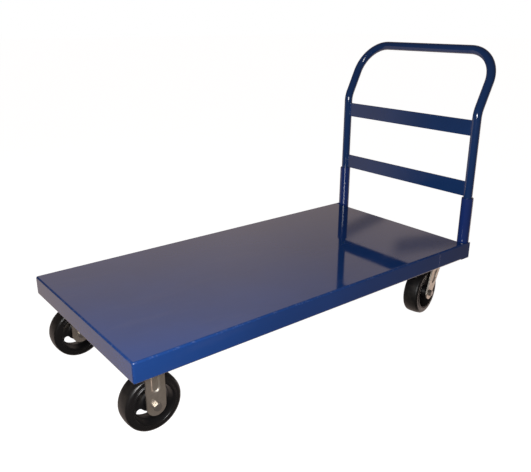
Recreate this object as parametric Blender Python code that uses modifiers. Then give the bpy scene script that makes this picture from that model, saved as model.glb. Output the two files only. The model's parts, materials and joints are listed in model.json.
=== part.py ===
"""Platform cart: a flanged steel deck on two rigid and two swivel casters, with a lift-out handle.

Metres, +Z up. The origin is on the floor, under the middle of the whole cart. +X runs from the
rigid casters towards the handle, and -Y is the left side of someone who pushes the cart.
"""

import math

import bmesh
import bpy
from mathutils import Euler, Matrix, Vector

# Deck: one sheet folded down on all four sides, with a narrow lip turned in under each flange.
DECK_LENGTH = 1.2192
DECK_WIDTH = 0.6096
DECK_HEIGHT = 0.240
SHEET = 0.003
FLANGE_DEPTH = 0.0555
FLANGE_LIP = 0.012
BEND_RADIUS = 0.004
EAR_REACH = 0.028
EAR_DROP = 0.002
EAR_LAP = 0.010

# Cross members welded under the deck.
CHANNEL_WIDTH = 0.122
CHANNEL_SHEET = 0.004
STIFFENER_WIDTH = 0.045
STIFFENER_DEPTH = 0.030
STIFFENER_SHEET = 0.0025

# Casters: 6 in wheel, 7.5 in overall height, 4 in by 4.5 in plate.
WHEEL_RADIUS = 0.0762
CASTER_HEIGHT = 0.1905
CASTER_INSET_X = 0.0744
RIGID_INSET_Y = 0.0796
SWIVEL_INSET_Y = 0.0876
PLATE_LENGTH = 0.1143
PLATE_WIDTH = 0.1016
PLATE_THICKNESS = 0.004
PLATE_HOLE_X = 0.0921
PLATE_HOLE_Y = 0.0667
LEG_THICKNESS = 0.005
LEG_RADIUS = 0.0255
FORK_HALF_WIDTH = 0.036
SWIVEL_LEG_RADIUS = 0.022
SWIVEL_TRAIL = 0.044
SWIVEL_ANGLE = math.radians(192.0)
CROWN_TOP = 0.165
CROWN_HALF_LENGTH = 0.034
RACE_RADIUS = 0.031
BALL_RING_HEIGHT = 0.0045
KINGPIN_RADIUS = 0.008
KINGPIN_NUT_RADIUS = 0.0135
KINGPIN_NUT_HEIGHT = 0.009

# Wheel: a black iron core with three kidney windows, and a rubber tyre moulded on it.
TYRE_HALF_WIDTH = 0.0254
TYRE_BORE = 0.0560
TYRE_SHOULDER = 0.0085
RIM_HALF_WIDTH = 0.0215
RIM_BORE = 0.0480
RIM_LIP_BORE = 0.0520
HUB_RADIUS = 0.0195
HUB_HALF_WIDTH = 0.0275
WEB_HALF_THICKNESS = 0.0035
WINDOW_INNER = 0.0295
WINDOW_SPAN = math.radians(80.0)
WINDOW_COUNT = 3
BEARING_OUTER = 0.0130
BUSH_RADIUS = 0.0092
AXLE_RADIUS = 0.00635
AXLE_HEX_RADIUS = 0.0110
AXLE_HEAD_HEIGHT = 0.0080
AXLE_NUT_HEIGHT = 0.0095
AXLE_END = 0.0035

# Plate bolts: 3/8 in.
BOLT_RADIUS = 0.0047
BOLT_HEX_RADIUS = 0.0082
BOLT_HEAD_HEIGHT = 0.0060
BOLT_NUT_HEIGHT = 0.0080
BOLT_HOLE_RADIUS = 0.0054

# Handle: a bent tube standing in two pipe sockets, with two flat crossbars.
SOCKET_RADIUS = 0.01905
SOCKET_BORE = 0.01505
SOCKET_TOP = 0.390
SOCKET_FLOOR = 0.005
HANDLE_SPREAD = 0.562
TUBE_RADIUS = 0.0143
TUBE_WALL = 0.002
KINK_HEIGHT = 0.667
KINK_RADIUS = 0.085
HANDLE_LEAN = math.radians(25.5)
HANDLE_SLANT = 0.205
CORNER_RADIUS = 0.105
CROSSBAR_HEIGHT = 0.0500
CROSSBAR_THICKNESS = 0.005
CROSSBAR_CENTRES = {"lower_crossbar": 0.418, "upper_crossbar": 0.6175}

GAP = 0.0003
MERGE = 0.00001
BEND_STEP = math.radians(12.0)
ROUND_STEPS = 24
TYRE_STEPS = 36
BOLT_STEPS = 12

# Places worked out from the sizes above.
SOCKET_OFFSET = SOCKET_RADIUS + GAP
HANDLE_OVERHANG = SOCKET_OFFSET + HANDLE_SLANT * math.sin(HANDLE_LEAN) + TUBE_RADIUS
OVERALL_LENGTH = DECK_LENGTH + HANDLE_OVERHANG
FRONT_X = -OVERALL_LENGTH / 2
REAR_X = FRONT_X + DECK_LENGTH
SOCKET_X = REAR_X + SOCKET_OFFSET
RIGID_X = FRONT_X + CASTER_INSET_X
SWIVEL_X = REAR_X - CASTER_INSET_X
RIGID_Y = DECK_WIDTH / 2 - RIGID_INSET_Y
SWIVEL_Y = DECK_WIDTH / 2 - SWIVEL_INSET_Y
FLANGE_BOTTOM = DECK_HEIGHT - FLANGE_DEPTH
DECK_UNDERSIDE = DECK_HEIGHT - SHEET
PLATE_BOTTOM = CASTER_HEIGHT - PLATE_THICKNESS
CHANNEL_BOTTOM = CASTER_HEIGHT + GAP
CROWN_BOTTOM = CROWN_TOP - LEG_THICKNESS
RACE_BOTTOM = CROWN_TOP + BALL_RING_HEIGHT + 2 * GAP
SIDES = {"left": -1, "right": 1}

MATERIAL_LOOKS = {
    "blue_paint": ((0.018, 0.040, 0.190), 0.22, 0.0),
    "zinc_steel": ((0.62, 0.60, 0.55), 0.38, 1.0),
    "bolt_steel": ((0.70, 0.69, 0.66), 0.30, 1.0),
    "black_iron": ((0.020, 0.019, 0.021), 0.45, 0.3),
    "black_rubber": ((0.014, 0.014, 0.015), 0.60, 0.0),
    "bearing_steel": ((0.50, 0.50, 0.50), 0.35, 1.0),
}


# ---------------------------------------------------------------------------- scene helpers
def clear_scene():
    for existing in list(bpy.data.objects):
        bpy.data.objects.remove(existing, do_unlink=True)


def make_collection(name):
    collection = bpy.data.collections.new(name)
    bpy.context.scene.collection.children.link(collection)
    return collection


def make_materials():
    materials = {}
    for name, (colour, roughness, metallic) in MATERIAL_LOOKS.items():
        material = bpy.data.materials.new(name)
        material.use_nodes = True
        shader = material.node_tree.nodes["Principled BSDF"]
        shader.inputs["Base Color"].default_value = (*colour, 1.0)
        shader.inputs["Roughness"].default_value = roughness
        shader.inputs["Metallic"].default_value = metallic
        materials[name] = material
    return materials


clear_scene()
CART = make_collection("platform_cart")
CUTTERS = make_collection("cutters")
MATERIALS = make_materials()


def place(name, mesh, look, parent=None, location=(0, 0, 0)):
    """Link a finished piece, with its own material, into the cart's collection."""
    piece = bpy.data.objects.new(name, mesh)
    CART.objects.link(piece)
    piece.parent = parent
    piece.location = location
    if not mesh.materials:
        mesh.materials.append(MATERIALS[look])
    return piece


def make_empty(name, location, rotation=(0, 0, 0), parent=None):
    empty = bpy.data.objects.new(name, None)
    CART.objects.link(empty)
    empty.parent = parent
    empty.location = location
    empty.rotation_euler = rotation
    empty.empty_display_size = 0.05
    return empty


def helper_object(name, mesh):
    """A shape that only cuts, joins or lends its mesh: kept out of the render."""
    helper = bpy.data.objects.new(name, mesh)
    CUTTERS.objects.link(helper)
    helper.hide_render = True
    helper.display_type = "WIRE"
    return helper


def evaluated_mesh(source, name):
    """The source's mesh with all its modifiers, welded, as a new mesh."""
    bpy.context.view_layer.update()
    depsgraph = bpy.context.evaluated_depsgraph_get()
    mesh = bpy.data.meshes.new_from_object(source.evaluated_get(depsgraph))
    mesh.name = name
    shape = bmesh.new()
    shape.from_mesh(mesh)
    bmesh.ops.remove_doubles(shape, verts=shape.verts, dist=MERGE)
    shape.to_mesh(mesh)
    shape.free()
    return mesh


def finish_mesh(source, name, helpers=(), smooth_angle=35.0):
    """Turn a helper and its modifiers into one plain mesh, then drop the helpers."""
    mesh = evaluated_mesh(source, name)
    mesh.shade_smooth()
    mesh.set_sharp_from_angle(angle=math.radians(smooth_angle))
    for helper in (source, *helpers):
        bpy.data.objects.remove(helper, do_unlink=True)
    return mesh


# ---------------------------------------------------------------------------- shape helpers
def box_mesh(name, size, centre=(0, 0, 0)):
    shape = bmesh.new()
    matrix = Matrix.Translation(centre) @ Matrix.Diagonal((*size, 1.0))
    bmesh.ops.create_cube(shape, size=1.0, matrix=matrix)
    mesh = bpy.data.meshes.new(name)
    shape.to_mesh(mesh)
    shape.free()
    return mesh


def prism_mesh(name, radius, bottom, top, steps, centre=(0, 0)):
    """An upright cylinder or, with six steps, a hexagon."""
    shape = bmesh.new()
    matrix = Matrix.Translation((*centre, (bottom + top) / 2))
    bmesh.ops.create_cone(shape, cap_ends=True, segments=steps, radius1=radius, radius2=radius,
                          depth=top - bottom, matrix=matrix)
    mesh = bpy.data.meshes.new(name)
    shape.to_mesh(mesh)
    shape.free()
    return mesh


def turned_object(name, profile, steps, closed=False):
    """Turn a profile of (radius, height) points about Z. Its outer side runs top to bottom."""
    mesh = bpy.data.meshes.new(name)
    points = [(radius, 0, height) for radius, height in profile]
    edges = [(i, i + 1) for i in range(len(points) - 1)]
    if closed:
        edges.append((len(points) - 1, 0))
    mesh.from_pydata(points, edges, [])
    turned = helper_object(name, mesh)
    screw = turned.modifiers.new("turn", "SCREW")
    screw.steps = steps
    screw.render_steps = steps
    screw.use_merge_vertices = True
    screw.merge_threshold = MERGE
    return turned


def ring_profile(inner, outer, bottom, top):
    return [(inner, top), (outer, top), (outer, bottom), (inner, bottom)]


def turned_mesh(name, profile, steps, closed=False):
    return finish_mesh(turned_object(name, profile, steps, closed), name)


def outline_mesh(name, outline, thickness):
    """A flat plate in the XY plane, centred on it, from an outline of (x, y) points."""
    curve = bpy.data.curves.new(name, "CURVE")
    curve.dimensions = "2D"
    curve.fill_mode = "BOTH"
    curve.extrude = thickness / 2
    spline = curve.splines.new("POLY")
    spline.points.add(len(outline) - 1)
    for point, (x, y) in zip(spline.points, outline):
        point.co = (x, y, 0, 1)
    spline.use_cyclic_u = True
    return finish_mesh(helper_object(name, curve), name)


def arc(centre, radius, start, end, steps):
    """Points along an arc, its angles in radians, both ends included."""
    points = []
    for i in range(steps + 1):
        angle = start + (end - start) * i / steps
        points.append((centre[0] + radius * math.cos(angle), centre[1] + radius * math.sin(angle)))
    return points


def moved(mesh, matrix):
    mesh.transform(matrix)
    return mesh


def boolean(target, operation, other):
    modifier = target.modifiers.new(other.name, "BOOLEAN")
    modifier.operation = operation
    modifier.solver = "EXACT"
    modifier.object = other
    return modifier


def combined_mesh(name, base, joined=(), cut=()):
    """One mesh from a base with some meshes joined to it and others cut out of it."""
    target = helper_object(name, base)
    helpers = []
    for operation, meshes in (("UNION", joined), ("DIFFERENCE", cut)):
        for index, mesh in enumerate(meshes):
            helper = helper_object(f"{name}_{operation.lower()}_{index}", mesh)
            boolean(target, operation, helper)
            helpers.append(helper)
    return finish_mesh(target, name, helpers)


def corner_points(spacing_x, spacing_y):
    return [(sx * spacing_x / 2, sy * spacing_y / 2) for sx in (-1, 1) for sy in (-1, 1)]


def plate_hole_cutters(bottom, top, centre_y=(0.0,)):
    """Round cutters on the caster plate's bolt pattern, repeated at each centre along Y."""
    cutters = []
    for y in centre_y:
        for x, dy in corner_points(PLATE_HOLE_X, PLATE_HOLE_Y):
            cutters.append(prism_mesh("bolt_hole", BOLT_HOLE_RADIUS, bottom, top, BOLT_STEPS, (x, y + dy)))
    return cutters


# ---------------------------------------------------------------------------- deck
def make_deck_pan():
    """The folded pan, with an ear that carries each side flange on past the handle end."""
    pan = helper_object("deck_pan", box_mesh("deck_pan", (DECK_LENGTH, DECK_WIDTH, FLANGE_DEPTH)))
    shape = bmesh.new()
    shape.from_mesh(pan.data)
    bottom = min(shape.faces, key=lambda face: face.calc_center_median().z)
    bmesh.ops.inset_region(shape, faces=[bottom], thickness=FLANGE_LIP)
    bmesh.ops.delete(shape, geom=[bottom], context="FACES")
    shape.to_mesh(pan.data)
    shape.free()
    bends = pan.modifiers.new("bends", "BEVEL")
    bends.width = BEND_RADIUS
    bends.segments = 2
    bends.limit_method = "ANGLE"
    sheet = pan.modifiers.new("sheet", "SOLIDIFY")
    sheet.thickness = SHEET
    sheet.use_even_offset = True
    ears = []
    for side in SIDES.values():
        size = (EAR_REACH + EAR_LAP, SHEET, FLANGE_DEPTH - EAR_DROP)
        centre = (DECK_LENGTH / 2 + (EAR_REACH - EAR_LAP) / 2, side * (DECK_WIDTH - SHEET) / 2, -EAR_DROP / 2)
        ear = helper_object("ear", box_mesh("ear", size, centre))
        boolean(pan, "UNION", ear)
        ears.append(ear)
    mesh = finish_mesh(pan, "deck_pan", ears)
    place("deck_pan", mesh, "blue_paint",
          location=((FRONT_X + REAR_X) / 2, 0, DECK_HEIGHT - FLANGE_DEPTH / 2))


def open_channel_mesh(name, width, depth, thickness):
    """A U section along Y with its web down, as long as the inside of the deck pan."""
    length = DECK_WIDTH - 2 * BEND_RADIUS - 2 * GAP
    channel = helper_object(name, box_mesh(name, (width, length, depth), (0, 0, depth / 2)))
    shape = bmesh.new()
    shape.from_mesh(channel.data)
    open_faces = [face for face in shape.faces if abs(face.normal.y) > 0.5 or face.normal.z > 0.5]
    bmesh.ops.delete(shape, geom=open_faces, context="FACES")
    shape.to_mesh(channel.data)
    shape.free()
    folded = channel.modifiers.new("sheet", "SOLIDIFY")
    folded.thickness = thickness
    folded.use_even_offset = True
    return finish_mesh(channel, name)


def make_cross_members():
    depth = DECK_UNDERSIDE - GAP - CHANNEL_BOTTOM
    plain = open_channel_mesh("caster_channel", CHANNEL_WIDTH, depth, CHANNEL_SHEET)
    for name, x, y in (("front_caster_channel", RIGID_X, RIGID_Y), ("rear_caster_channel", SWIVEL_X, SWIVEL_Y)):
        holes = plate_hole_cutters(-CHANNEL_SHEET, 2 * CHANNEL_SHEET, (-y, y))
        drilled = combined_mesh(name, plain, cut=holes)
        place(name, drilled, "blue_paint", location=(x, 0, CHANNEL_BOTTOM))
    rib = open_channel_mesh("deck_stiffener", STIFFENER_WIDTH, STIFFENER_DEPTH, STIFFENER_SHEET)
    bottom = DECK_UNDERSIDE - GAP - STIFFENER_DEPTH
    for name, share in (("front_deck_stiffener", 1 / 3), ("rear_deck_stiffener", 2 / 3)):
        place(name, rib, "blue_paint", location=(RIGID_X + (SWIVEL_X - RIGID_X) * share, 0, bottom))


def make_sockets():
    """Pipe sockets closed at the bottom, standing against the end flange."""
    bottom = FLANGE_BOTTOM
    floor = bottom + SOCKET_FLOOR
    profile = [(0, floor), (SOCKET_BORE, floor), (SOCKET_BORE, SOCKET_TOP), (SOCKET_RADIUS, SOCKET_TOP),
               (SOCKET_RADIUS, bottom), (0, bottom)]
    mesh = turned_mesh("handle_socket", profile, ROUND_STEPS)
    for side, sign in SIDES.items():
        place(f"{side}_handle_socket", mesh, "blue_paint", location=(SOCKET_X, sign * HANDLE_SPREAD / 2, 0))


# ---------------------------------------------------------------------------- handle
def rounded_path(corners):
    """A path through straight runs, each inner corner given as (point, bend radius)."""
    path = [corners[0][0]]
    for (before, _), (corner, radius), (after, _) in zip(corners, corners[1:], corners[2:]):
        into = (corner - before).normalized()
        out = (after - corner).normalized()
        turn = into.angle(out)
        setback = radius * math.tan(turn / 2)
        normal = (out - into).normalized()
        centre = corner + normal * (radius / math.cos(turn / 2))
        spoke = corner - into * setback - centre
        axis = into.cross(out).normalized()
        steps = math.ceil(turn / BEND_STEP)
        for i in range(steps + 1):
            path.append(centre + Matrix.Rotation(turn * i / steps, 3, axis) @ spoke)
    path.append(corners[-1][0])
    return path


def handle_path():
    """The tube's centre line, from the left foot up, across and down to the right foot."""
    half = HANDLE_SPREAD / 2
    foot_height = FLANGE_BOTTOM + SOCKET_FLOOR + GAP
    top_x = HANDLE_SLANT * math.sin(HANDLE_LEAN)
    top_z = KINK_HEIGHT + HANDLE_SLANT * math.cos(HANDLE_LEAN)
    corners = [
        (Vector((0, -half, foot_height)), 0),
        (Vector((0, -half, KINK_HEIGHT)), KINK_RADIUS),
        (Vector((top_x, -half, top_z)), CORNER_RADIUS),
        (Vector((top_x, half, top_z)), CORNER_RADIUS),
        (Vector((0, half, KINK_HEIGHT)), KINK_RADIUS),
        (Vector((0, half, foot_height)), 0),
    ]
    return rounded_path(corners)


def make_handle():
    """The bent tube and its crossbars, under an empty on the line that they lift along."""
    lift = make_empty("handle_lift", (SOCKET_X, 0, 0))
    curve = bpy.data.curves.new("handle_tube", "CURVE")
    curve.dimensions = "3D"
    curve.bevel_depth = TUBE_RADIUS
    curve.bevel_resolution = 6
    spline = curve.splines.new("POLY")
    path = handle_path()
    spline.points.add(len(path) - 1)
    for point, position in zip(spline.points, path):
        point.co = (*position, 1)
    skin = finish_mesh(helper_object("handle_skin", curve), "handle_tube")
    tube = helper_object("handle_tube", skin)
    wall = tube.modifiers.new("wall", "SOLIDIFY")
    wall.thickness = TUBE_WALL
    wall.use_even_offset = True
    place("handle_tube", finish_mesh(tube, "handle_tube"), "blue_paint", parent=lift)
    bar_length = HANDLE_SPREAD - 2 * TUBE_RADIUS - 2 * GAP
    bar = box_mesh("crossbar", (CROSSBAR_THICKNESS, bar_length, CROSSBAR_HEIGHT))
    for name, height in CROSSBAR_CENTRES.items():
        place(name, bar, "blue_paint", parent=lift, location=(0, 0, height))


# ---------------------------------------------------------------------------- wheels
def make_tyre_mesh():
    shoulder = WHEEL_RADIUS - TYRE_SHOULDER
    flank = TYRE_HALF_WIDTH
    crown = TYRE_HALF_WIDTH - TYRE_SHOULDER
    profile = [(TYRE_BORE, flank), (shoulder, flank), (WHEEL_RADIUS, crown), (WHEEL_RADIUS, -crown),
               (shoulder, -flank), (TYRE_BORE, -flank)]
    return turned_mesh("tyre", profile, TYRE_STEPS, closed=True)


def kidney_outline(inner, outer, span, middle):
    """A bean-shaped window between two radii, with round ends."""
    end = (outer - inner) / 2
    ring = (outer + inner) / 2
    half = span / 2 - end / ring
    outline = arc((0, 0), outer, middle - half, middle + half, 5)
    for sign in (1, -1):
        angle = middle + sign * half
        centre = (ring * math.cos(angle), ring * math.sin(angle))
        turn_start = angle if sign > 0 else angle + math.pi
        cap = arc(centre, end, turn_start, turn_start + math.pi, 4)
        outline += cap[1:-1]
        if sign > 0:
            outline += arc((0, 0), inner, middle + half, middle - half, 5)
    return outline


def make_core_mesh(rolled):
    """Hub, web and rim in one turned shape, with the windows cut where the wheel has rolled to."""
    rim_outer = TYRE_BORE - GAP
    bore = BEARING_OUTER + GAP
    upper = [(bore, HUB_HALF_WIDTH), (HUB_RADIUS, HUB_HALF_WIDTH), (HUB_RADIUS + 0.002, WEB_HALF_THICKNESS),
             (RIM_BORE, WEB_HALF_THICKNESS), (RIM_LIP_BORE, RIM_HALF_WIDTH), (rim_outer, RIM_HALF_WIDTH)]
    lower = [(radius, -height) for radius, height in reversed(upper)]
    blank = turned_mesh("wheel_core", upper + lower, ROUND_STEPS, closed=True)
    windows = []
    for i in range(WINDOW_COUNT):
        middle = rolled + 2 * math.pi * i / WINDOW_COUNT
        outline = kidney_outline(WINDOW_INNER, RIM_BORE - 0.001, WINDOW_SPAN, middle)
        windows.append(outline_mesh("window", outline, 4 * WEB_HALF_THICKNESS))
    return combined_mesh("wheel_core", blank, cut=windows)


def make_wheel_meshes():
    """Everything on an axle, modelled about Z: the wheel's own parts and the clamped ones."""
    inside = FORK_HALF_WIDTH - LEG_THICKNESS
    bearing_half = HUB_HALF_WIDTH - 0.002
    clamp = FORK_HALF_WIDTH + GAP
    meshes = {
        "tyre": make_tyre_mesh(),
        "roller_bearing": turned_mesh(
            "roller_bearing", ring_profile(BUSH_RADIUS + GAP, BEARING_OUTER, -bearing_half, bearing_half),
            ROUND_STEPS, closed=True),
        "axle_bush": turned_mesh(
            "axle_bush", ring_profile(AXLE_RADIUS + 2 * GAP, BUSH_RADIUS, GAP - inside, inside - GAP),
            BOLT_STEPS, closed=True),
    }
    nut = prism_mesh("axle_nut", AXLE_HEX_RADIUS, -clamp - AXLE_NUT_HEIGHT, -clamp, 6)
    nut_bore = prism_mesh("nut_bore", AXLE_RADIUS + 2 * GAP, -2 * clamp, 0, BOLT_STEPS)
    meshes["axle_nut"] = combined_mesh("axle_nut", nut, cut=[nut_bore])
    shank = prism_mesh("axle_bolt", AXLE_RADIUS, -clamp - AXLE_NUT_HEIGHT - AXLE_END, clamp + GAP, BOLT_STEPS)
    head = prism_mesh("axle_head", AXLE_HEX_RADIUS, clamp, clamp + AXLE_HEAD_HEIGHT, 6)
    meshes["axle_bolt"] = combined_mesh("axle_bolt", shank, joined=[head])
    return meshes


WHEEL_LOOKS = {"tyre": "black_rubber", "wheel_core": "black_iron", "roller_bearing": "bearing_steel",
               "axle_bush": "zinc_steel", "axle_bolt": "bolt_steel", "axle_nut": "bolt_steel"}
TURNING_PARTS = ("tyre", "wheel_core", "roller_bearing")
# How far each wheel has rolled at rest: the angle of one window's middle, in degrees.
ROLLED = {"front_left": 244.0, "front_right": 240.0, "rear_left": 20.0, "rear_right": 75.0}


def add_wheel(prefix, meshes, axle):
    """Put one wheel set under an axle empty, whose Z axis is the axle's line."""
    spin = make_empty(f"{prefix}_wheel_spin", (0, 0, 0), parent=axle)
    parts = {**meshes, "wheel_core": make_core_mesh(math.radians(ROLLED[prefix]))}
    for part, mesh in parts.items():
        holder = spin if part in TURNING_PARTS else axle
        place(f"{prefix}_{part}", mesh, WHEEL_LOOKS[part], parent=holder)
    return spin


# ---------------------------------------------------------------------------- casters
def leg_pair(name, outline):
    """Two side legs from an outline of (x, z) points, with their outer faces at the fork's width."""
    upright = Euler((math.radians(90), 0, 0)).to_matrix().to_4x4()
    offset = FORK_HALF_WIDTH - LEG_THICKNESS / 2
    legs = []
    for sign in (-1, 1):
        plate = outline_mesh(name, outline, LEG_THICKNESS)
        legs.append(moved(plate, Matrix.Translation((0, sign * offset, 0)) @ upright))
    return legs


def axle_hole(centre_x):
    """A cutter along Y, through both legs at the axle's height."""
    hole = prism_mesh("axle_hole", AXLE_RADIUS + 2 * GAP, -2 * FORK_HALF_WIDTH, 2 * FORK_HALF_WIDTH, BOLT_STEPS)
    turn = Euler((math.radians(90), 0, 0)).to_matrix().to_4x4()
    return moved(hole, Matrix.Translation((centre_x, 0, WHEEL_RADIUS)) @ turn)


def make_rigid_fork_mesh():
    """The plate and both legs of a rigid caster, about its own middle on the floor."""
    centre = (0, 0, CASTER_HEIGHT - PLATE_THICKNESS / 2)
    plate = box_mesh("rigid_fork", (PLATE_LENGTH, PLATE_WIDTH, PLATE_THICKNESS), centre)
    foot = arc((0, WHEEL_RADIUS), LEG_RADIUS, math.pi, 2 * math.pi, 8)
    weld = PLATE_BOTTOM + PLATE_THICKNESS / 2
    outline = foot + [(LEG_RADIUS, weld), (-LEG_RADIUS, weld)]
    cutters = [axle_hole(0.0), *plate_hole_cutters(PLATE_BOTTOM - 0.01, CASTER_HEIGHT + 0.01)]
    return combined_mesh("rigid_fork", plate, joined=leg_pair("leg", outline), cut=cutters)


def make_swivel_plate_mesh():
    """The fixed top plate with its round upper race and the kingpin's hole."""
    centre = (0, 0, CASTER_HEIGHT - PLATE_THICKNESS / 2)
    plate = box_mesh("swivel_plate", (PLATE_LENGTH, PLATE_WIDTH, PLATE_THICKNESS), centre)
    race = prism_mesh("race", RACE_RADIUS, RACE_BOTTOM, CASTER_HEIGHT - PLATE_THICKNESS / 2, ROUND_STEPS)
    pin_hole = prism_mesh("pin_hole", KINGPIN_RADIUS + GAP, 0, 2 * CASTER_HEIGHT, ROUND_STEPS)
    cutters = [pin_hole, *plate_hole_cutters(PLATE_BOTTOM - 0.01, CASTER_HEIGHT + 0.01)]
    return combined_mesh("swivel_plate", plate, joined=[race], cut=cutters)


def make_swivel_fork_mesh():
    """The crown and both trailing legs, about the kingpin's line, with the wheel towards +X."""
    size = (2 * CROWN_HALF_LENGTH, 2 * FORK_HALF_WIDTH, LEG_THICKNESS)
    crown = box_mesh("swivel_fork", size, (0, 0, CROWN_TOP - LEG_THICKNESS / 2))
    foot = arc((SWIVEL_TRAIL, WHEEL_RADIUS), SWIVEL_LEG_RADIUS, math.radians(200), math.radians(385), 8)
    weld = CROWN_TOP - LEG_THICKNESS / 2
    outline = foot + [(CROWN_HALF_LENGTH, weld), (-CROWN_HALF_LENGTH, weld)]
    pin_hole = prism_mesh("pin_hole", KINGPIN_RADIUS + 2 * GAP, CROWN_BOTTOM - 0.01, CROWN_TOP + 0.01, ROUND_STEPS)
    cutters = [axle_hole(SWIVEL_TRAIL), pin_hole]
    return combined_mesh("swivel_fork", crown, joined=leg_pair("leg", outline), cut=cutters)


def make_kingpin_mesh():
    """A flush pin through plate, race and crown, with its hexagon nut under the crown."""
    nut_top = CROWN_BOTTOM - GAP
    pin = prism_mesh("kingpin", KINGPIN_RADIUS, nut_top - KINGPIN_NUT_HEIGHT, CASTER_HEIGHT, ROUND_STEPS)
    nut = prism_mesh("kingpin_nut", KINGPIN_NUT_RADIUS, nut_top - KINGPIN_NUT_HEIGHT - GAP, nut_top, 6)
    return combined_mesh("kingpin", pin, joined=[nut])


def make_ball_ring_mesh():
    bottom = CROWN_TOP + GAP
    inner = KINGPIN_RADIUS + 0.004
    profile = ring_profile(inner, RACE_RADIUS - 0.002, bottom, bottom + BALL_RING_HEIGHT)
    return turned_mesh("ball_ring", profile, ROUND_STEPS, closed=True)


def make_plate_bolt_mesh():
    """A bolt up through plate and channel, with the nut inside the channel."""
    head_top = PLATE_BOTTOM - GAP
    nut_bottom = CHANNEL_BOTTOM + CHANNEL_SHEET + GAP
    nut_top = nut_bottom + BOLT_NUT_HEIGHT
    shank = prism_mesh("plate_bolt", BOLT_RADIUS, head_top - GAP, nut_top + 0.003, BOLT_STEPS)
    head = prism_mesh("head", BOLT_HEX_RADIUS, head_top - BOLT_HEAD_HEIGHT, head_top, 6)
    nut = prism_mesh("nut", BOLT_HEX_RADIUS, nut_bottom, nut_top, 6)
    return combined_mesh("plate_bolt", shank, joined=[head, nut])


def add_plate_bolts(prefix, mesh, x, y):
    for number, (dx, dy) in enumerate(corner_points(PLATE_HOLE_X, PLATE_HOLE_Y), start=1):
        place(f"{prefix}_plate_bolt_{number}", mesh, "bolt_steel", location=(x + dx, y + dy, 0))


def make_casters():
    wheel_meshes = make_wheel_meshes()
    rigid_fork = make_rigid_fork_mesh()
    swivel_plate = make_swivel_plate_mesh()
    swivel_fork = make_swivel_fork_mesh()
    kingpin = make_kingpin_mesh()
    ball_ring = make_ball_ring_mesh()
    plate_bolt = make_plate_bolt_mesh()
    axle_turn = (math.radians(90), 0, 0)
    for side, sign in SIDES.items():
        y = sign * RIGID_Y
        front = f"front_{side}"
        place(f"{front}_rigid_fork", rigid_fork, "zinc_steel", location=(RIGID_X, y, 0))
        front_axle = make_empty(f"{front}_axle", (RIGID_X, y, WHEEL_RADIUS), axle_turn)
        add_wheel(front, wheel_meshes, front_axle)
        add_plate_bolts(front, plate_bolt, RIGID_X, y)

        rear = f"rear_{side}"
        y = sign * SWIVEL_Y
        place(f"{rear}_swivel_plate", swivel_plate, "zinc_steel", location=(SWIVEL_X, y, 0))
        place(f"{rear}_kingpin", kingpin, "bolt_steel", location=(SWIVEL_X, y, 0))
        swivel = make_empty(f"{rear}_swivel", (SWIVEL_X, y, 0), (0, 0, SWIVEL_ANGLE))
        place(f"{rear}_swivel_fork", swivel_fork, "zinc_steel", parent=swivel)
        place(f"{rear}_ball_ring", ball_ring, "bearing_steel", parent=swivel)
        rear_axle = make_empty(f"{rear}_axle", (SWIVEL_TRAIL, 0, WHEEL_RADIUS), axle_turn, swivel)
        add_wheel(rear, wheel_meshes, rear_axle)
        add_plate_bolts(rear, plate_bolt, SWIVEL_X, y)


make_deck_pan()
make_cross_members()
make_sockets()
make_handle()
make_casters()
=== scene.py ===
"""Steel platform cart: finished pieces, paint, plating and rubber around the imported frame."""

import json
import math

import bmesh
import bpy
from bpy.props import FloatProperty, FloatVectorProperty, IntProperty, PointerProperty
from mathutils import Euler, Matrix, Vector


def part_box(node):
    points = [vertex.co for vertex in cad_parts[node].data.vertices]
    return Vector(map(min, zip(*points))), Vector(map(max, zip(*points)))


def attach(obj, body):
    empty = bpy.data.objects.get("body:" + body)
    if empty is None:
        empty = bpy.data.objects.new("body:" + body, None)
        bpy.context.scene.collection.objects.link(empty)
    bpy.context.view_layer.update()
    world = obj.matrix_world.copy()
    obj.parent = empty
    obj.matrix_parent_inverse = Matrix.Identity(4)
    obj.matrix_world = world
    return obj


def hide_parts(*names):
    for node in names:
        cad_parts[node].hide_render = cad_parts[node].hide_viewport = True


bl_info = {
    "name": "Platform Cart",
    "version": (1, 0, 0),
    "blender": (4, 5, 0),
    "location": "3D View > Sidebar > Cart",
    "description": "Builds the finished pieces and materials of a steel platform cart",
    "category": "Object",
}

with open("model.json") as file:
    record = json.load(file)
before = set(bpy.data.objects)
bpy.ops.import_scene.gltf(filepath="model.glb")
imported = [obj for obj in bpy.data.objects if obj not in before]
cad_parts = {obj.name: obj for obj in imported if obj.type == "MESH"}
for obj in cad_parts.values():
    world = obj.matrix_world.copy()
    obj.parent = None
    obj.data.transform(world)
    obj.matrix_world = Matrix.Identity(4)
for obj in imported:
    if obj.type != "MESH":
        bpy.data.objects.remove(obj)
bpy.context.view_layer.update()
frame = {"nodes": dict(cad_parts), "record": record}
SIDES = ("left", "right")
AXLES = ("front_left", "front_right", "rear_left", "rear_right")
GAP = 0.0003
MERGE = 0.00001
UPSIDE_DOWN = Euler((math.pi, 0, 0)).to_matrix().to_4x4()
ON_ITS_SIDE = Euler((math.pi / 2, 0, 0)).to_matrix().to_4x4()


# ---------------------------------------------------------------------------- places in the frame
def corners(node):
    """A node's lowest and highest corners at rest."""
    low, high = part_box(node)
    return Vector(low), Vector(high)


def middle(node):
    low, high = corners(node)
    return (low + high) / 2


def joint(name):
    """A joint's point and unit axis at rest."""
    for entry in frame["record"]["behaviour"]["joints"]:
        if entry["name"] == name:
            return Vector(entry["pos_m"]), Vector(entry["axis"]).normalized()
    raise RuntimeError(f"the frame has no joint {name}")


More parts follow.
